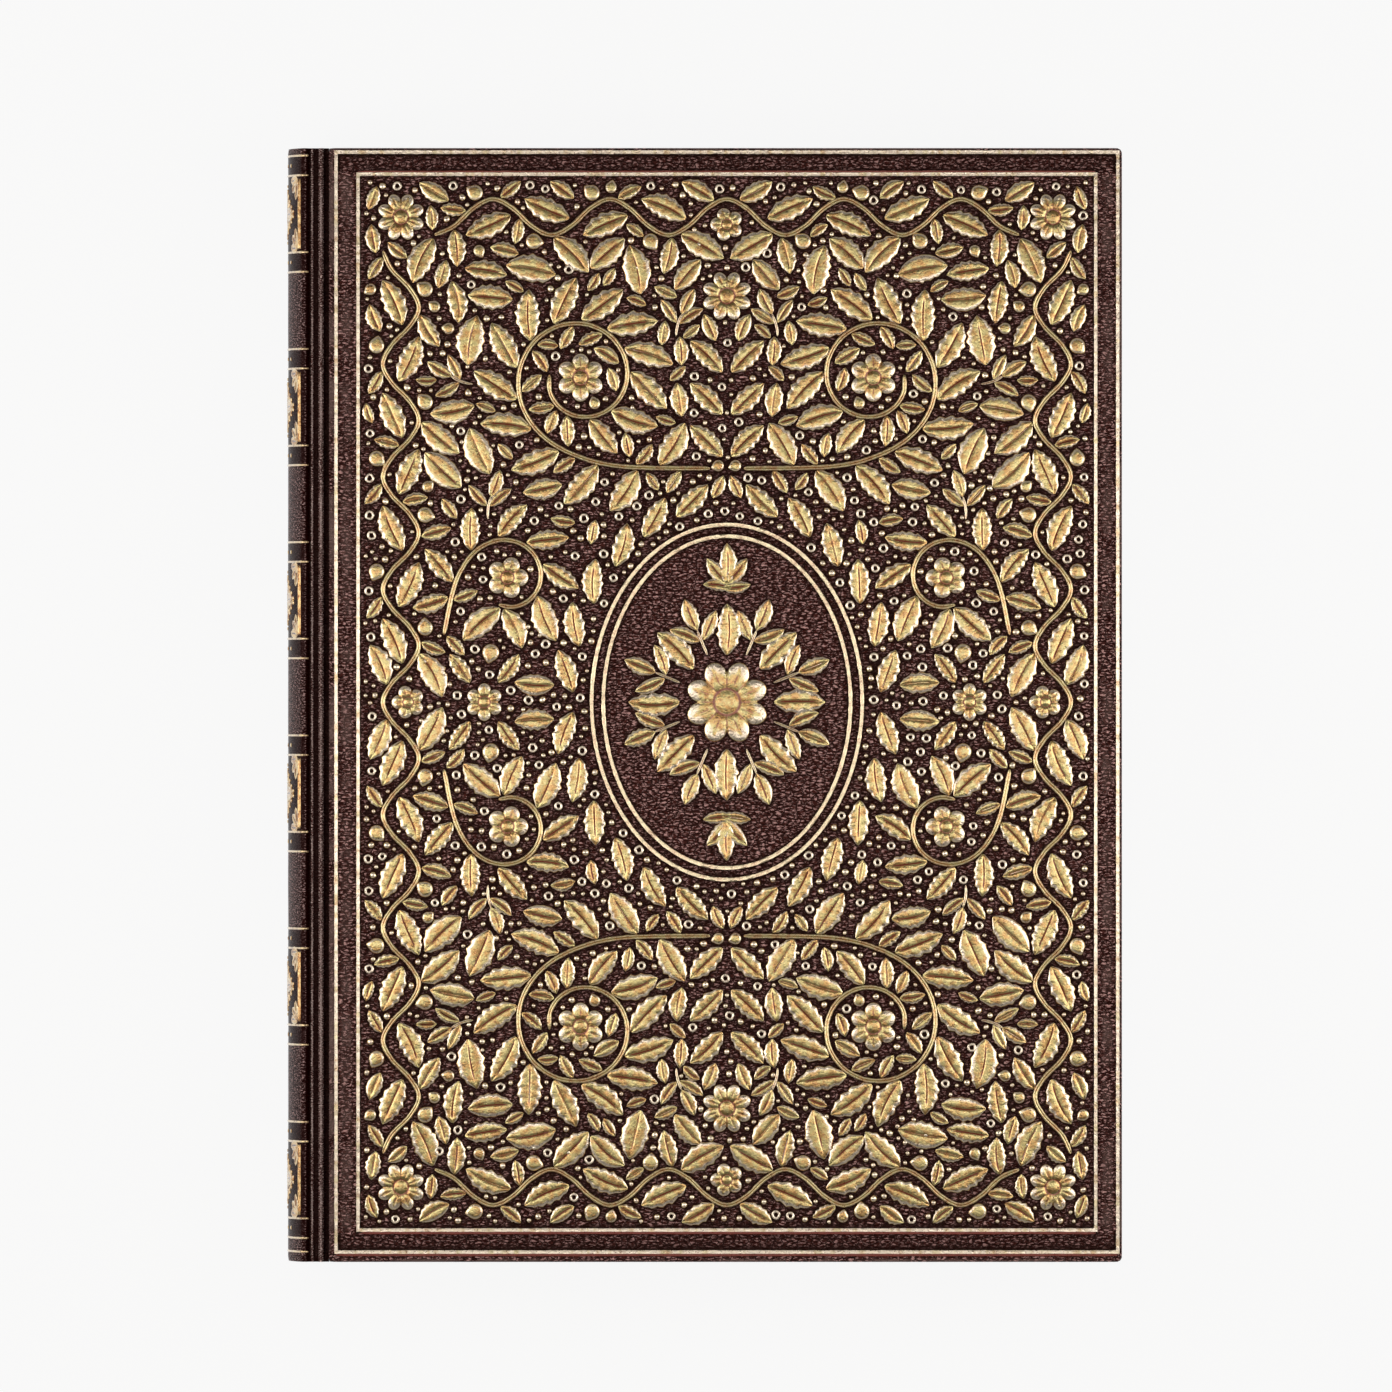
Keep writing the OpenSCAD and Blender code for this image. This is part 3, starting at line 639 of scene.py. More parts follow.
def cover_shell(lo, hi, step, flip, relief=None, painted_shade_and_light=lambda x, y: 0 * x, joint_r=0.9):
    """Leather round a board, turned in on the inner face. Its outer face is up before the flip."""
    nx, ny = int((hi[0] - lo[0]) / step), int((hi[1] - lo[1]) / step)
    z_in, z_out = (2 * mid_z - hi[2], 2 * mid_z - lo[2]) if flip else (lo[2], hi[2])
    s, t = np.meshgrid(np.linspace(0, 1, nx + 1), np.linspace(0, 1, ny + 1), indexing="ij")

    def lay(s, t, margins, radius):
        """Grid or its border, laid over the outline drawn in by left, right and end margins."""
        left, right, end = margins
        x0, x1, y0, y1 = lo[0] + left, hi[0] - right, lo[1] + end, hi[1] - end
        x, y = x0 + (x1 - x0) * s, y0 + (y1 - y0) * t
        if radius > 0:
            small = min(radius, SPINE_CORNER_R)
            own = np.where(x < (x0 + x1) / 2, small, radius)
            cx, cy = np.clip(x, x0 + small, x1 - radius), np.minimum(np.maximum(y, y0 + own), y1 - own)
            dx, dy = x - cx, y - cy
            far = np.hypot(dx, dy)
            k = np.where(far > 1e-9, np.maximum(np.abs(dx), np.abs(dy)) / np.maximum(far, 1e-9), 1)
            x, y = cx + dx * k, cy + dy * k
        return x, y

    x, y = lay(s, t, (joint_r, EDGE_R, EDGE_R), CORNER_R - EDGE_R)
    z = np.full(x.shape, z_out) + 0.035 * waver(x, y, 28, 9, 5)
    inner = np.minimum(np.minimum(x - x.min(), x.max() - x), np.minimum(y - y.min(), y.max() - y))
    z = z - 0.05 * (1 - smooth(inner / 1.6)) - 0.03
    if relief is not None:
        z = z + relief(x, y) * smooth(inner / 0.6)
    pile_co = [np.stack([x, y, z], -1).reshape(-1, 3)]
    # Tone: lighter towards the edges, minus the painted shade and light of the front's field
    tone = [(1 + 0.9 * (1 - smooth((inner - 0.1) / 0.9)) - painted_shade_and_light(x, y)).ravel()]
    flat = [pile_co[0][:, :2]]
    faces = grid_faces(nx + 1, ny + 1).tolist()
    cols = ny + 1
    border = ([(i, 0) for i in range(nx)] + [(nx, j) for j in range(ny)]
        + [(i, ny) for i in range(nx, 0, -1)] + [(0, j) for j in range(ny, 0, -1)])
    first = [i * cols + j for i, j in border]
    bs, bt = (np.array(border) / [nx, ny]).T
    n = len(border)
    last, count = first, (nx + 1) * cols
    edge_z = z.ravel()[first]
    rows = []
    # The rounded edges get tone over 1, which lightens them in patches
    for k in range(1, 6):
        a = k / 5 * math.pi / 2
        draw = 1 - math.sin(a)
        rows.append(((joint_r * draw, EDGE_R * draw, EDGE_R * draw), CORNER_R - EDGE_R * draw, a, 2.0))
    rows.append(((0, 0, 0), CORNER_R, (z_in + z_out) / 2, 1.3))
    for k in range(0, 4):
        a = k / 3 * math.pi / 2
        draw = EDGE_R * (1 - math.cos(a))
        height = z_in + EDGE_R * (1 - math.sin(a))
        rows.append(((draw, draw, draw), CORNER_R - draw, height, 2.0 if k < 3 else 1.2))
    floor_z = z_in + TURN_IN_T
    rows.append(((LEATHER_T * 0.9, TURN_IN_W * 0.96, TURN_IN_W * 0.96), 0, z_in, 1.0))
    for inset, z_row in ((TURN_IN_W, z_in + 0.04), (TURN_IN_W, floor_z), (LEATHER_T, floor_z),
            (LEATHER_T, z_out - LEATHER_T)):
        rows.append(((LEATHER_T, inset, inset), 0, z_row, 1.0))
    before = pile_co[0][first]
    laid = before[:, :2]
    out = laid - np.clip(laid, laid.min(0) + 0.5, laid.max(0) - 0.5)
    out /= lengths(out)[:, None]
    for i, (margins, radius, height, t_row) in enumerate(rows):
        px, py = lay(bs, bt, margins, radius)
        if i < 5:
            pz = edge_z - np.where(px < lo[0] + joint_r + 0.01, joint_r, EDGE_R) * (1 - math.cos(height))
        else:
            pz = np.full(n, height)
        pile_co.append(np.stack([px, py, pz], -1))
        laid = laid + out * lengths(pile_co[-1] - before)[:, None]
        flat.append(laid)
        before = pile_co[-1]
        tone.append(np.full(n, t_row))
        now = list(range(count, count + n))
        faces += [[last[i], last[(i + 1) % n], now[(i + 1) % n], now[i]] for i in range(n)]
        last, count = now, count + n
    faces.append(last)
    co = np.concatenate(pile_co)
    if flip:
        co[:, 2] = 2 * mid_z - co[:, 2]
    shell = Pile()
    shell.add(co, faces, np.concatenate(tone), np.concatenate(flat))
    return shell


# Gilt front: the CAD ornament, then what grows between it

LINE_W = 0.7  # width of the frame's and the medallion's lines, in mm
TOP = box_mm("front_gilt_frame")[1][2] - top_z - 0.02  # top of the gilding over the cover, in mm
FOOT = 0.06  # its foot
leaf_pile = Pile(FOOT)
leaves(leaf_pile, leaf_spots("front_gilt_leaves"), TOP)

stem_pile = Pile(FOOT)
paths = [smooth_path(p) for p in stem_paths("front_gilt_stems")]
for p in paths:
    # Tone above 1 paints the cream highlight colour
    sweep(stem_pile, p, 0.95, TOP * 0.8, tone=1.3)

flower_pile = Pile(FOOT)
for p, pts, tri in islands("front_gilt_blossoms"):
    petals = len(p) // 3
    c = area_centre(pts, tri)
    far = lengths(p - c)
    tips = (p - c)[far > far.max() - 0.1]
    turn = np.angle(np.sum(((tips[:, 0] + 1j * tips[:, 1]) / far.max()) ** petals)) / petals
    blossom(flower_pile, c[0], c[1], far.max(), petals, TOP, turn)

bud_pile = Pile(FOOT)
for p, pts, tri in islands("front_gilt_buds"):
    c = p.mean(0)
    bud(bud_pile, c[0], c[1], lengths(p - c).max(), rng.uniform(0, 6.3), TOP * 0.95)

ring_pile = Pile(FOOT)
medal_half = [0, 0]
for p, pts, tri in islands("front_gilt_medallion"):
    half, c = (p.max(0) - p.min(0)) / 2, (p.max(0) + p.min(0)) / 2
    medal_half = max(medal_half, half.tolist())
    oval = c + (half - LINE_W / 2) * circle(320)
    # Tone above 1 paints the cream highlight colour
    sweep(ring_pile, oval, LINE_W * 1.05, TOP * 0.8, FLAT_BAND, True, 0.06, tone=1.4)

frame_pile = Pile(FOOT * 0.5)
boxes = []
for p, pts, tri in islands("front_gilt_frame"):
    lo, hi = p.min(0) + LINE_W / 2, p.max(0) - LINE_W / 2
    boxes.append((lo, hi))
    mitred(frame_pile, lo, hi, LINE_W, TOP * 0.85)
(out_lo, out_hi), (in_lo, in_hi) = sorted(boxes, key=lambda b: b[0][0])
field_c = (in_lo + in_hi) / 2
field_half = (in_hi - in_lo) / 2

# Painted shade, red-brown, on the leather beside the frame's lines: outside the inner one at the head, and
# both at the tail
outward_shade_pile = Pile()
for lo, hi, y, width in ((in_lo, in_hi, in_hi[1] + LINE_W / 2 + 0.15, 0.34),
        (in_lo, in_hi, in_lo[1] - LINE_W / 2 - 0.22, 0.5),
        (out_lo, out_hi, out_lo[1] - LINE_W / 2 - 0.22, 0.5)):
    line = np.stack([np.linspace(lo[0], hi[0], 120), np.full(120, y)], -1)
    sweep(outward_shade_pile, line, width, 0.16, FLAT_BAND, jitter=0.12, tone=0.0)


class Ground:
    """Cells of a quarter of the field that are taken, with all four quarters laid over each other."""

    STEP = 0.1

    def __init__(self):
        self.cells = np.zeros(np.ceil(field_half / self.STEP).astype(int) + 1, bool)
        x, y = (np.arange(n) * self.STEP for n in self.cells.shape)
        self.cells[x > field_half[0] - 1.0, :] = True
        self.cells[:, y > field_half[1] - 1.0] = True
        self.cells[np.hypot(x[:, None] / medal_half[0], y[None, :] / medal_half[1]) < 1] = True

    def take(self, pts, gap):
        """Takes the cells within a gap of the points."""
        n = int(math.ceil(gap / self.STEP))
        i, j = np.mgrid[-n:n + 1, -n:n + 1]
        disc = np.stack([i, j], -1)[np.hypot(i, j) * self.STEP <= gap]
        at = np.unique(np.rint(np.abs(pts[:, :2] - field_c) / self.STEP).astype(int), axis=0)
        at = np.abs((at[:, None, :] + disc[None]).reshape(-1, 2))
        at = np.minimum(at, np.array(self.cells.shape) - 1)
        self.cells[tuple(at.T)] = True

    def free(self, pts):
        at = np.rint(np.abs(pts[:, :2] - field_c) / self.STEP).astype(int)
        at = np.minimum(at, np.array(self.cells.shape) - 1)
        return not self.cells[tuple(at.T)].any()


GAP = 0.27  # least room between two shapes, in mm
ground = Ground()
for pile in (leaf_pile, stem_pile, flower_pile, bud_pile, ring_pile):
    ground.take(pile.points(), GAP)


def turned(pts, x, y, ang):
    c, s = math.cos(ang), math.sin(ang)
    return pts @ np.array([[c, s], [-s, c]]) + [x, y]


def moved(spots, x, y, ang):
    """Spots laid out from the origin, turned and moved to their place."""
    return [(*turned(np.array([t[:2]]), x, y, ang)[0], t[2] + ang, *t[3:]) for t in spots]


def leaf_probe(x, y, ang, length, width):
    """Points all over a leaf."""
    u = np.linspace(0.04, 1.0, 14)
    w = 0.5 * width * np.sin(np.pi * np.minimum(u, 0.996) ** 0.82) ** 0.68 * 1.1
    px, py = np.tile(u, 5) * length, np.concatenate([w, w / 2, 0 * w, -w / 2, -w])
    return turned(np.stack([px, py], -1), x, y, ang)


QUARTERS = np.array([(1, 1), (1, -1), (-1, 1), (-1, -1)])


def fourfold(spots):
    """Spots of the first quarter, mirrored into all four."""
    return [(*(field_c + ([x, y] - field_c) * q), math.atan2(*(unit(ang) * q)[::-1]), *size)
        for x, y, ang, *size in spots for q in QUARTERS]


def in_quarter(pts, margin=0.3):
    return (pts > field_c + margin).all()


# Young leaves along every stem, where there is room
young, tries = [], []
for p in paths:
    d = np.gradient(p, axis=0)
    tries += [(q, math.atan2(t[1], t[0])) for q, t in zip(p, d) if in_quarter(q, 1)][::2]
order = rng.permutation(len(tries))
for scale in (0.95, 0.84, 0.72, 0.6, 0.5):
    for o in order:
        q, along = tries[o]
        for side in (1, -1):
            for back in (0, math.pi):
                ang = along + back + side * rng.uniform(0.6, 1.05)
                spot = (*(q + 0.75 * unit(ang)), ang, 9.6 * scale, 4.7 * scale)
                probe = leaf_probe(*spot)
                if in_quarter(probe) and ground.free(probe[lengths(probe - q) > 1.6]):
                    young.append(spot)
                    ground.take(probe, GAP)
young_pile = Pile(FOOT)
leaves(young_pile, fourfold(young), TOP * 0.95, nu=14)


def sprig(pairs, size, bend):
    """Leaves and middle line of a twig that starts at the origin along X."""
    step = 3.9 * size
    run = np.linspace(0, step * (pairs + 0.3), 3 + 4 * pairs)
    head = bend * run / run[-1]
    move = np.diff(run)[:, None] * np.stack([np.cos(head[1:]), np.sin(head[1:])], -1)
    path = np.concatenate([[[0, 0]], np.cumsum(move, 0)])
    spots = []
    for i in range(1, pairs + 1):
        j = int(np.argmin(np.abs(run - step * (i - 0.35))))
        for side in (1, -1):
            a = head[j] + side * 0.8
            length = (6.5 - 0.5 * i) * size
            start = path[j] + 0.6 * size * unit(a)
            spots.append((*start, a, length, 0.43 * length))
    spots.append((*path[-1], head[-1], 6.2 * size, 3.0 * size))
    return spots, path


# Sprigs, single leaves and berries on the bare places that are left
sprig_pile, filler_pile = Pile(FOOT), Pile(FOOT)
sprig_leaves, fillers, twigs, berries = [], [], [], []
BAND = 40.0  # the ornament is dense beyond this distance from the middle, in mm


def somewhere(low):
    """Place in the quarter, at least so far from its lower side, and a direction that leads outwards."""
    q = field_c + [rng.uniform(0, field_half[0]), rng.uniform(low, field_half[1])]
    return q[0], q[1], math.atan2(q[1] - field_c[1], q[0] - field_c[0]) + rng.uniform(-1.2, 1.2)


for size, pairs, count in ((1.15, 3, 1800), (1.15, 2, 1800), (1.0, 3, 1200), (1.0, 2, 1200), (0.85, 1, 150)):
    for bend in (0.5, -0.5, 0.15, -0.15):
        local, path = sprig(pairs, size, bend)
        probe = np.concatenate([leaf_probe(*t) for t in local] + [path])
        for _ in range(count):
            x, y, ang = somewhere(BAND if pairs > 1 else 0)
            pts = turned(probe, x, y, ang)
            if in_quarter(pts) and ground.free(pts):
                sprig_leaves += moved(local, x, y, ang)
                twigs.append(turned(path, x, y, ang))
                ground.take(pts, GAP)
for length, count, low in ((9.4, 9000, BAND), (8.4, 9000, BAND), (7.4, 9000, BAND), (7.4, 500, 0),
        (6.4, 9000, BAND), (5.4, 9000, BAND), (4.6, 9000, BAND), (4.6, 600, 0),
        (3.9, 9000, BAND)):
    probe = leaf_probe(0, 0, 0, length, 0.52 * length)
    for _ in range(count):
        x, y, ang = somewhere(low)
        pts = turned(probe, x, y, ang)
        if in_quarter(pts, 0.2) and ground.free(pts):
            fillers.append((x, y, ang, length, 0.52 * length))
            ground.take(pts, GAP)
disc = np.concatenate([circle(24) * r for r in (0.01, 0.35, 0.7, 1.0)])
for r, count, low in ((2.3, 3000, BAND), (1.9, 4000, BAND), (1.9, 300, 0), (1.55, 5000, BAND),
        (1.3, 5000, BAND)):
    for _ in range(count):
        q = np.array(somewhere(low)[:2])
        pts = q + disc * r
        if in_quarter(pts) and ground.free(pts):
            berries.append((q, r, rng.uniform(0, 6.3)))
            ground.take(pts, GAP)
inside = []
for k in range(8):
    a = math.radians(22.5 + 45 * k)
    local, path = sprig(1, 1.0, 0.0)
    x, y = field_c + 9.6 * unit(a)
    inside += moved(local, x, y, a)
    # Tone above 1 paints the cream highlight colour
    sweep(sprig_pile, smooth_path(turned(path, x, y, a), 0.6), 0.6, TOP * 0.65, tone=1.5)
for s in (1, -1):
    for a, length in ((0.0, 7.6), (0.72, 6.6), (-0.72, 6.6), (1.45, 5.4), (-1.45, 5.4)):
        start = field_c + [0.9 * math.sin(a), s * (21.4 + 0.9 * math.cos(a))]
        inside.append((*start, s * (math.pi / 2 + a), length, 0.42 * length))
leaves(sprig_pile, fourfold(sprig_leaves) + inside, TOP * 0.92, nu=11)
leaves(filler_pile, fourfold(fillers), TOP * 0.95, nu=11)
for path in twigs:
    for quarter in QUARTERS:
        # Tone above 1 paints the cream highlight colour
        sweep(sprig_pile, smooth_path(field_c + (path - field_c) * quarter, 0.6), 0.6, TOP * 0.65, tone=1.5)
for q, r, a in berries:
    for quarter in QUARTERS:
        x, y = field_c + (q - field_c) * quarter
        if r > 2:
            blossom(sprig_pile, x, y, r, 5, TOP * 0.95, a)
        else:
            bud(sprig_pile, x, y, r * 0.86, a, TOP)

# Stamped rings and dots over the rest of the field
dots_pile = Pile(FOOT)
placed = np.empty((0, 3))
for count, r, gap, high in ((9000, 0.9, 0.55, 0.75), (15000, 0.62, 0.38, 0.85), (26000, 0.45, 0.32, 0.7)):
    for _ in range(count):
        q = field_c + rng.uniform(-1, 1, 2) * field_half
        if not ground.free(q + circle(24) * (r - 0.05)):
            continue
        if (np.hypot(*(placed[:, :2] - q).T) < r + gap + placed[:, 2]).any():
            continue
        placed = np.vstack([placed, [*q, r + gap * 0.5]])
        if r > 0.8:
            ring(dots_pile, *q, r * rng.uniform(0.92, 1.06), 0.52, TOP * high)
        else:
            dome(dots_pile, *q, r * rng.uniform(0.9, 1.1), TOP * high)

gilding = {
    "leaves": leaf_pile, "young_leaves": young_pile, "small_leaves": filler_pile, "sprigs": sprig_pile,
    "stems": stem_pile, "blossoms": flower_pile, "buds": bud_pile, "medallion": ring_pile,
    "frame": frame_pile, "rings_and_dots": dots_pile,
}
raised = np.concatenate([pile.points()[:, :2] for pile in gilding.values()])
raised = np.unique(np.rint(raised / 0.15), axis=0) * 0.15
near_gilt = kdtree.KDTree(len(raised))
for i, q in enumerate(raised):
    near_gilt.insert((*q, 0.0), i)
near_gilt.balance()


def from_gilt(x, y):
    """Distance to the nearest gilding, in mm."""
    far = [near_gilt.find((a, b, 0.0))[2] for a, b in zip(x.ravel(), y.ravel())]
    return np.reshape(far, x.shape)


def pucker(x, y):
    """The leather rises towards the embossed shapes."""
    return 0.1 * np.exp(-(from_gilt(x, y) / 0.75) ** 2)


def painted_shade_and_light(x, y):
    """Painted shade on the leather beside embossed shapes and along head and tail, and painted light along
    the sides.
    """
    sides, ends = (smooth((np.abs(v - field_c[i]) - field_half[i]) / 0.8) for i, v in enumerate((x, y)))
    return 0.7 * np.exp(-(from_gilt(x, y) / 0.5) ** 2) + 0.25 * ends - 0.45 * sides * (1 - ends)


def on_top(co):
    return co + [0, 0, top_z]


for name, pile in gilding.items():
    nodes = {"front_gilt_" + name} & set(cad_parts)
    pile.build("gilt_" + name, "front_cover", front_gold, on_top, nodes, "gilt")
outward_shade_pile.build("frame_painted_shade_edges", "front_cover", front_gold, on_top, (), "leather")

for side, shell in (("front", cover_shell(front_lo, front_hi, 0.78, False, pucker, painted_shade_and_light)),
        ("back", cover_shell(back_lo, back_hi, 1.6, True))):
    shell.build(side + "_cover_leather", side + "_cover", front_skin, None,
        [side + "_leather"], "leather", 60)


# Joints

def bump_at(q):
    return np.where(np.abs(q) < 1, np.cos(np.pi / 2 * np.clip(q, -1, 1)) ** 2, 0)


def joint_strip(flip):
    """Leather across a groove, with a thin ridge near the spine and a low bead near the board."""
    n = int(2 * half_y)
    x = np.linspace(valley_x, board_x, 34)

    def ridge(half_width):
        return bump_at((x - valley_x - 0.55) / half_width)

    def bead(half_width):
        return bump_at((x - board_x + 1.5) / half_width)

    top = groove_z + 0.3 * ridge(0.4) + 0.9 * bead(0.9)
    y = np.linspace(-half_y, half_y, n + 1)
    yy, xx = np.meshgrid(y, x, indexing="ij")
    swell = waver(xx * 3, yy, 14, 7, 11) * np.sin(np.pi * (xx - valley_x) / (board_x - valley_x))
    zz = np.tile(top, (n + 1, 1)) + 0.03 * swell
    low = np.stack([np.stack([np.full(n + 1, px), y, np.full(n + 1, groove_z - LEATHER_T)], -1)
        for px in np.linspace(board_x, valley_x, 5)], 1)
    co = np.concatenate([np.stack([xx, yy, zz], -1), low], 1)
    k = co.shape[1]
    # Painted shade: tone 0.2 turns the groove near-black; painted highlight: the ridge's and bead's crests
    # take the lighter colour
    tone = np.full((n + 1, k), 0.2)
    tone[:, :34] += 0.8 * np.maximum(ridge(0.42), bead(0.85)) + 1.2 * ridge(0.16) + 0.6 * bead(0.6)
    if flip:
        co[..., 2] = 2 * mid_z - co[..., 2]
    run = np.concatenate([[0], np.cumsum(np.hypot(np.diff(x), np.diff(top))), np.full(5, 9.0)])
    flat = np.stack([valley_x + np.tile(run, (n + 1, 1)), np.tile(y[:, None], (1, k))], -1)
    strip = Pile()
    strip.add(co, capped(n + 1, k), tone, flat)
    return strip


for side, flip in (("front", False), ("back", True)):
    obj = joint_strip(flip).build(side + "_joint_skin", None, joint_skin, None, [side + "_joint_leather"],
        "leather", 60)
    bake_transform(obj)


# Spine

def arc_points(r, a, n):
    t = np.linspace(-a, a, n)
    return np.stack([spine_x - r * np.cos(t), mid_z + r * np.sin(t)], -1)


def y_of(node):
    """The different Y of a node's points, in mm."""
    return np.unique(np.round([v.co[1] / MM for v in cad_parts[node].data.vertices], 2))


py, fy = y_of("spine_gilt_panels"), y_of("spine_gilt_fillets")
panels = [(group[0], group[-1]) for group in np.split(py, np.where(np.diff(py) > 8)[0] + 1)]
fillet_y = (fy[::2] + fy[1::2]) / 2
smooth_ranges = []
for a, b in panels:
    near = sorted(fillet_y, key=lambda f: abs(f - (a + b) / 2))[:4]
    smooth_ranges.append((min(near), max(near)))

rim_at = np.array([spine_x - (spine_r - RIM_R) * math.cos(outer_a),
    mid_z + (spine_r - RIM_R) * math.sin(outer_a)])
rim = [rim_at + RIM_R * unit(a)
    for a in np.radians(np.linspace(180 - math.degrees(outer_a), 45, 14)[1:])]
last = rim[-1]
tail = [np.array([(last[0] + valley_x) / 2, (last[1] + 2 * groove_z) / 3]), np.array([valley_x, groove_z])]
curve = smooth_path(np.array([rim[-3], rim[-2], last] + tail), 0.25)
upper = np.concatenate([np.array(rim[:-3]), curve])
lower = upper[::-1] * [1, -1] + [0, 2 * mid_z]
inner_r = spine_r - LEATHER_T
block_lo, block_hi = box_mm("text_block")
inner_a = math.asin(min(1, (block_hi[2] - block_lo[2]) / 2 / (inner_r - 1.5)))
inside = np.concatenate([[[valley_x, groove_z - LEATHER_T]], arc_points(inner_r, inner_a, 15)[::-1],
    [[valley_x, 2 * mid_z - groove_z + LEATHER_T]]])
outer = np.concatenate([lower, arc_points(spine_r, outer_a, 40)[1:-1], upper])
section = np.concatenate([outer, inside])
k_out, k = len(outer), len(section)
ys = np.linspace(-half_y, half_y, 241)
co = np.zeros((len(ys), k, 3))
co[:, :, ::2] = section
co[:, :, 1] = ys[:, None]
dirs = section - [spine_x, mid_z]
dirs /= lengths(dirs)[:, None]
draw = np.zeros((len(ys), k))
around = np.concatenate([[0], np.cumsum(lengths(np.diff(section, axis=0)))])
along, across = np.meshgrid(ys, around[:k_out], indexing="ij")
draw[:, :k_out] = 0.03 * waver(along, across, 16, 8, 21)
end = np.minimum(ys + half_y, half_y - ys)
draw[:, :k_out] -= (0.12 * np.clip(1 - end / 0.8, 0, 1) ** 2)[:, None] + 0.03
co[:, :, ::2] += draw[:, :, None] * dirs
tone = np.ones((len(ys), k))
for a, b in smooth_ranges:
    tone[(ys > a) & (ys < b)] = 0.0
# Painted shade: the leather turns near-black as it runs down into the valley beside the spine
valley_shade = smooth((section[:k_out, 0] - (valley_x - 1.05)) / 0.6)
tone[:, :k_out] = tone[:, :k_out] * (1 - valley_shade) + 2 * valley_shade
spine_pile = Pile()
spine_pile.add(co, capped(len(ys), k), tone, np.stack(np.meshgrid(around, ys), -1))
spine_pile.build("spine_skin", "book_block", spine_skin, None, ["spine_leather"], "leather", 60)


def on_spine(co):
    """From height along the spine, arc length across it and height above it to the row frame."""
    s = co[:, 1] + around[k_out - 1] / 2
    (x, z), (x0, z0), (x1, z1) = ([np.interp(s + step, around[:k_out], side) for side in outer.T]
        for step in (0, -0.2, 0.2))
    dx, dz = x1 - x0, z1 - z0
    h = (co[:, 2] - 0.03) / np.hypot(dx, dz)
    return np.stack([x - dz * h, co[:, 0], z + dx * h], -1)


HIGH = 0.2  # height of the spine's gilding, in mm
bar_at = spine_r * math.asin((shoulder - 0.55) / spine_r)
panel_pile = Pile()
for a, b in panels:
    m, half = (a + b) / 2, (b - a) / 2
    for s in (-1, 1):
        for off, width in ((0.3, 0.45), (-0.32, 0.35)):
            line = np.stack([np.linspace(a + 0.1, b - 0.1, 30), np.full(30, s * (bar_at + off))], -1)
            sweep(panel_pile, line, width, HIGH, ROUND_BAND, jitter=0.08, taper=0.4)
    point = np.array([[m + 4.6, 0], [m, 7.4], [m - 4.6, 0], [m, -7.4]])
    lozenge = np.concatenate([np.linspace(p, q, 22, endpoint=False)
        for p, q in zip(point, np.roll(point, -1, 0))])
    sweep(panel_pile, lozenge, 0.5, HIGH, ROUND_BAND, True, 0.08)
    for q in lozenge[::4]:
        dome(panel_pile, *(q + (q - [m, 0]) / np.linalg.norm(q - [m, 0]) * 0.75), 0.36, HIGH)
    for s in (-1, 1):
        leaves(panel_pile, [(m, s * 1.2, s * math.pi / 2, 5.0, 2.6),
            (m + s * 0.9, 0, math.pi / 2 - s * math.pi / 2, 3.0, 1.9)], HIGH, nu=12, lobes=4)
        for t in (-1, 1):
            leaves(panel_pile, [(m + s * 0.7, t * 0.9, math.atan2(t * 1.5, s), 3.0, 1.6)], HIGH,
                nu=12, lobes=3)
            foot = (m + s * (half - 0.3), t * (bar_at - 0.8))
            for turn in (-0.62, 0.0, 0.62):
                leaves(panel_pile, [(*foot, math.atan2(-t * 1.3, -s) + turn, 3.9, 1.9)], HIGH, nu=9, lobes=4)
    blossom(panel_pile, m, 0, 1.3, 8, HIGH)

fillet_pile = Pile()
for f in fillet_y:
    run = np.linspace(0.3, around[k_out - 1] - 0.3, 56) - around[k_out - 1] / 2
    line = np.stack([np.full(56, f), run], -1)
    # Tone above 1 paints the cream highlight colour
    sweep(fillet_pile, line, 0.42, HIGH * 0.8, ROUND_BAND, jitter=0.06, taper=0, tone=1.4)

dot_pile = Pile()
for (a, b), (sa, sb) in zip(panels, smooth_ranges):
    near = [f for f in fillet_y if sa + 0.1 < f < sb - 0.1]
    for row in ((sa + min(near)) / 2, (sb + max(near)) / 2):
        for q in (np.arange(4) - 1.5) * spine_r * outer_a / 3:
            dome(dot_pile, row, q, 0.42, HIGH * 0.8)
for name, pile in (("panels", panel_pile), ("fillets", fillet_pile), ("dots", dot_pile)):
    pile.build(f"spine_{name}_gilt", "book_block", spine_gold, on_spine, ["spine_gilt_" + name], "gilt")


# CAD nodes that are shown as they are

for names, mat in (("front_flyleaf back_flyleaf front_pastedown back_pastedown", sheet),
        ("text_block", edges), ("mull", cloth), ("spine_lining", lining),
        ("spine_stiffener front_board back_board", board), ("head_band tail_band", silk)):
    for name in names.split():
        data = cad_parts[name].data
        data.materials.clear()
        data.materials.append(mat)


# Table, light and camera

def table_top():
    g = Graph("table")
    speck = g.noise(g.coords(), 0.02, 3.0, 0.5)
    colour = g.mix(speck, (0.86, 0.86, 0.86), (0.9, 0.9, 0.9))
    diffuse = g.add("BsdfDiffuse", Color=colour)
    glow = g.add("Emission", Color=(0.954, 0.954, 0.954), Strength=1.0)
    camera, glossy, through = (g.add("LightPath", out="Is " + kind + " Ray")
        for kind in ("Camera", "Glossy", "Transmission"))
    part = g.times(g.plus(g.plus(camera, glossy), through), 0.96)
    return g.finish(g.add("MixShader", i0=part, i1=diffuse, i2=glow))


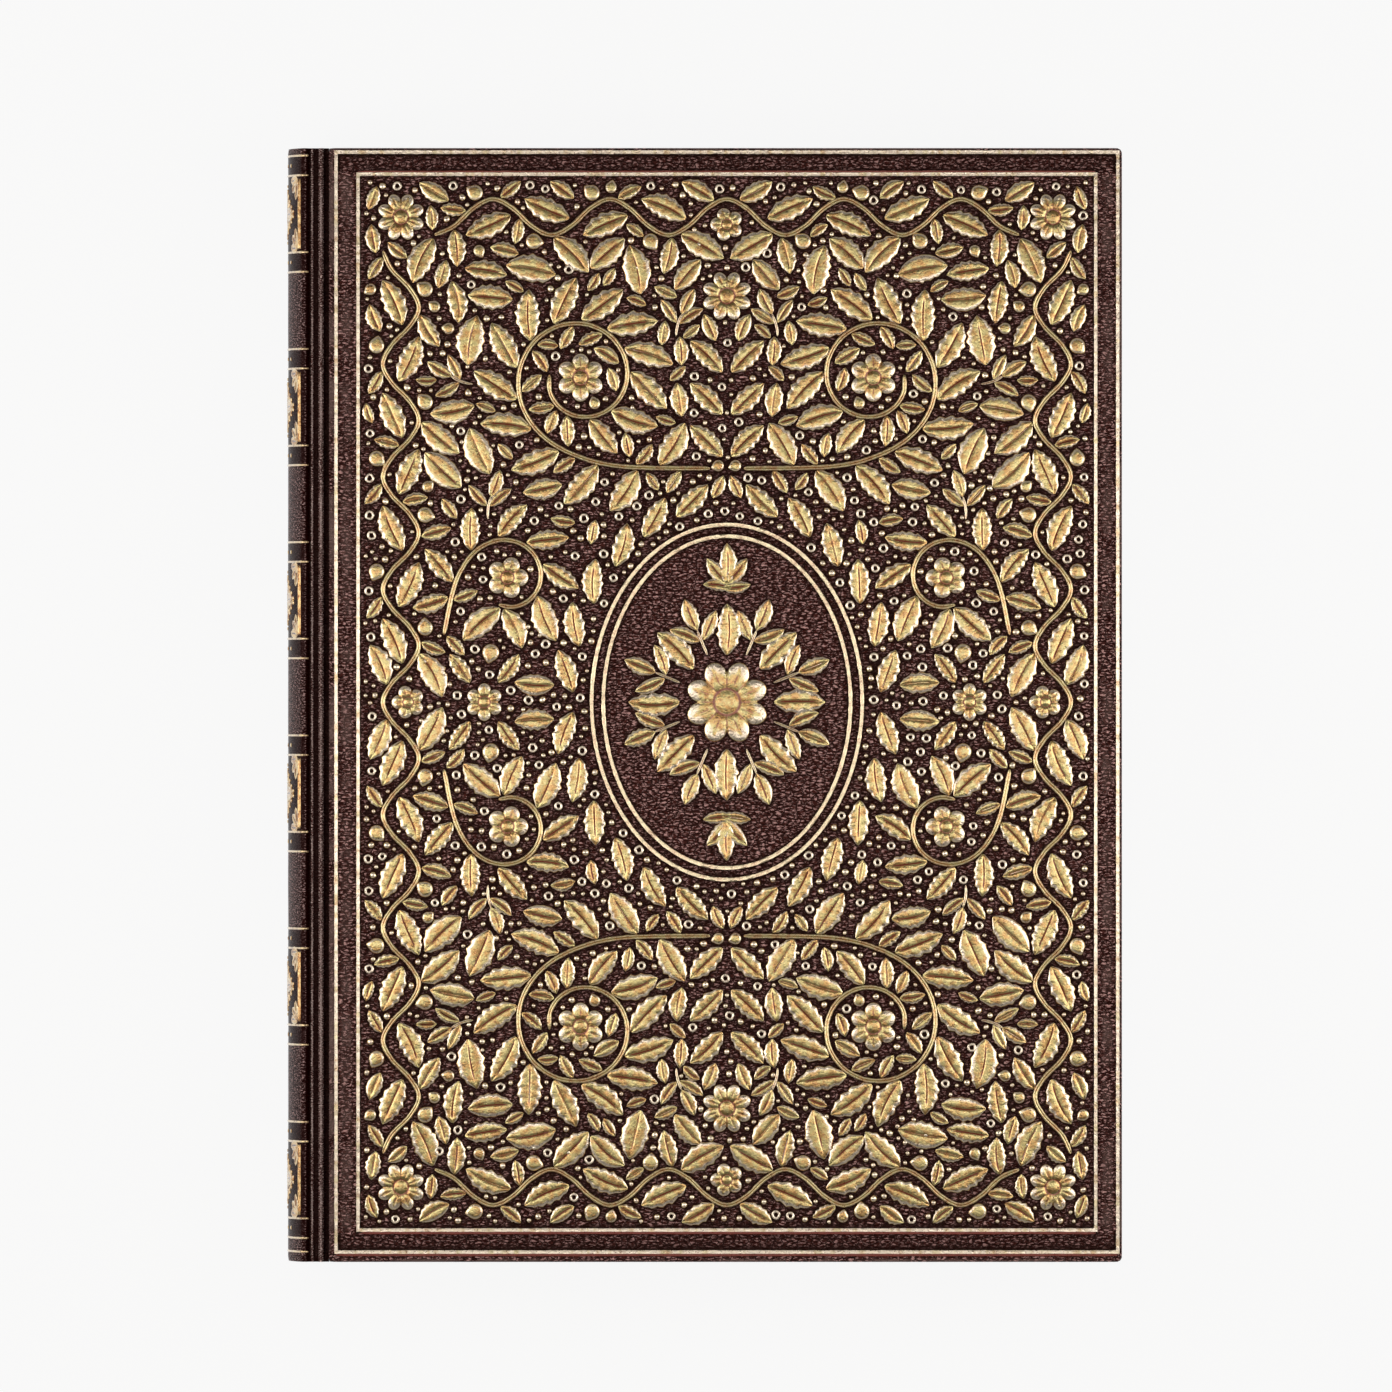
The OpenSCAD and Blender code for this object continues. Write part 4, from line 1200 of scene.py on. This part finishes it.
mesh = bpy.data.meshes.new("floor")
REACH, DROP = 30.0, -0.0002
corners = [(x * REACH, y * REACH, DROP) for x, y in ((-1, -1), (1, -1), (1, 1), (-1, 1))]
mesh.from_pydata(corners, [], [(0, 1, 2, 3)])
mesh.materials.append(table_top())
floor = new_object("floor", mesh)


def lamp(name, place, aim, size, power):
    data = bpy.data.lights.new(name, "AREA")
    data.shape = "RECTANGLE"
    data.size, data.size_y = size
    data.energy = power
    data.color = (1.0, 0.94, 0.86)
    obj = new_object(name, data)
    obj.location = place
    obj.rotation_mode = "QUATERNION"
    obj.rotation_quaternion = (Vector(aim) - Vector(place)).to_track_quat("-Z", "Y")
    obj.visible_camera = False


for side in (-1, 1):
    lamp("side_box", (0.28 * side, 0, 0.26), (0.04 * side, 0, 0.025), (0.20, 0.32), 0.63)
lamp("strip", (0, 0, 0.35), (0, 0, 0), (0.30, 0.05), 0.118)
lamp("overhead", (0, 0, 1.2), (0, 0, 0), (0.7, 0.7), 1.23)

world = bpy.data.worlds.new("studio")
scene.world = world
world.use_nodes = True
sky = world.node_tree
around_book, split, low_band = (sky.nodes.new("ShaderNode" + kind)
    for kind in ("TexCoord", "SeparateXYZ", "MapRange"))
low_band.interpolation_type = "SMOOTHSTEP"
for i, v in enumerate((0.88, 0.5, 0.03, 0.4)):
    low_band.inputs[i + 1].default_value = v
sky.links.new(around_book.outputs["Generated"], split.inputs[0])
sky.links.new(split.outputs["Z"], low_band.inputs[0])
sky.links.new(low_band.outputs[0], sky.nodes["Background"].inputs[1])
sky.nodes["Background"].inputs[0].default_value = (1.0, 0.93, 0.84, 1)

cam_data = bpy.data.cameras.new("camera")
cam_data.type = "PERSP"
DIST, VIEW = 4.0, 0.2624  # distance and width of the picture, in m
cam_data.lens = 36 * DIST / VIEW
cam_data.clip_start, cam_data.clip_end = 0.05, 60
cam = new_object("camera", cam_data)
cam.location = (-0.0015, 0.0017, top_z * MM + DIST)
scene.camera = cam
scene.view_settings.view_transform = "Standard"
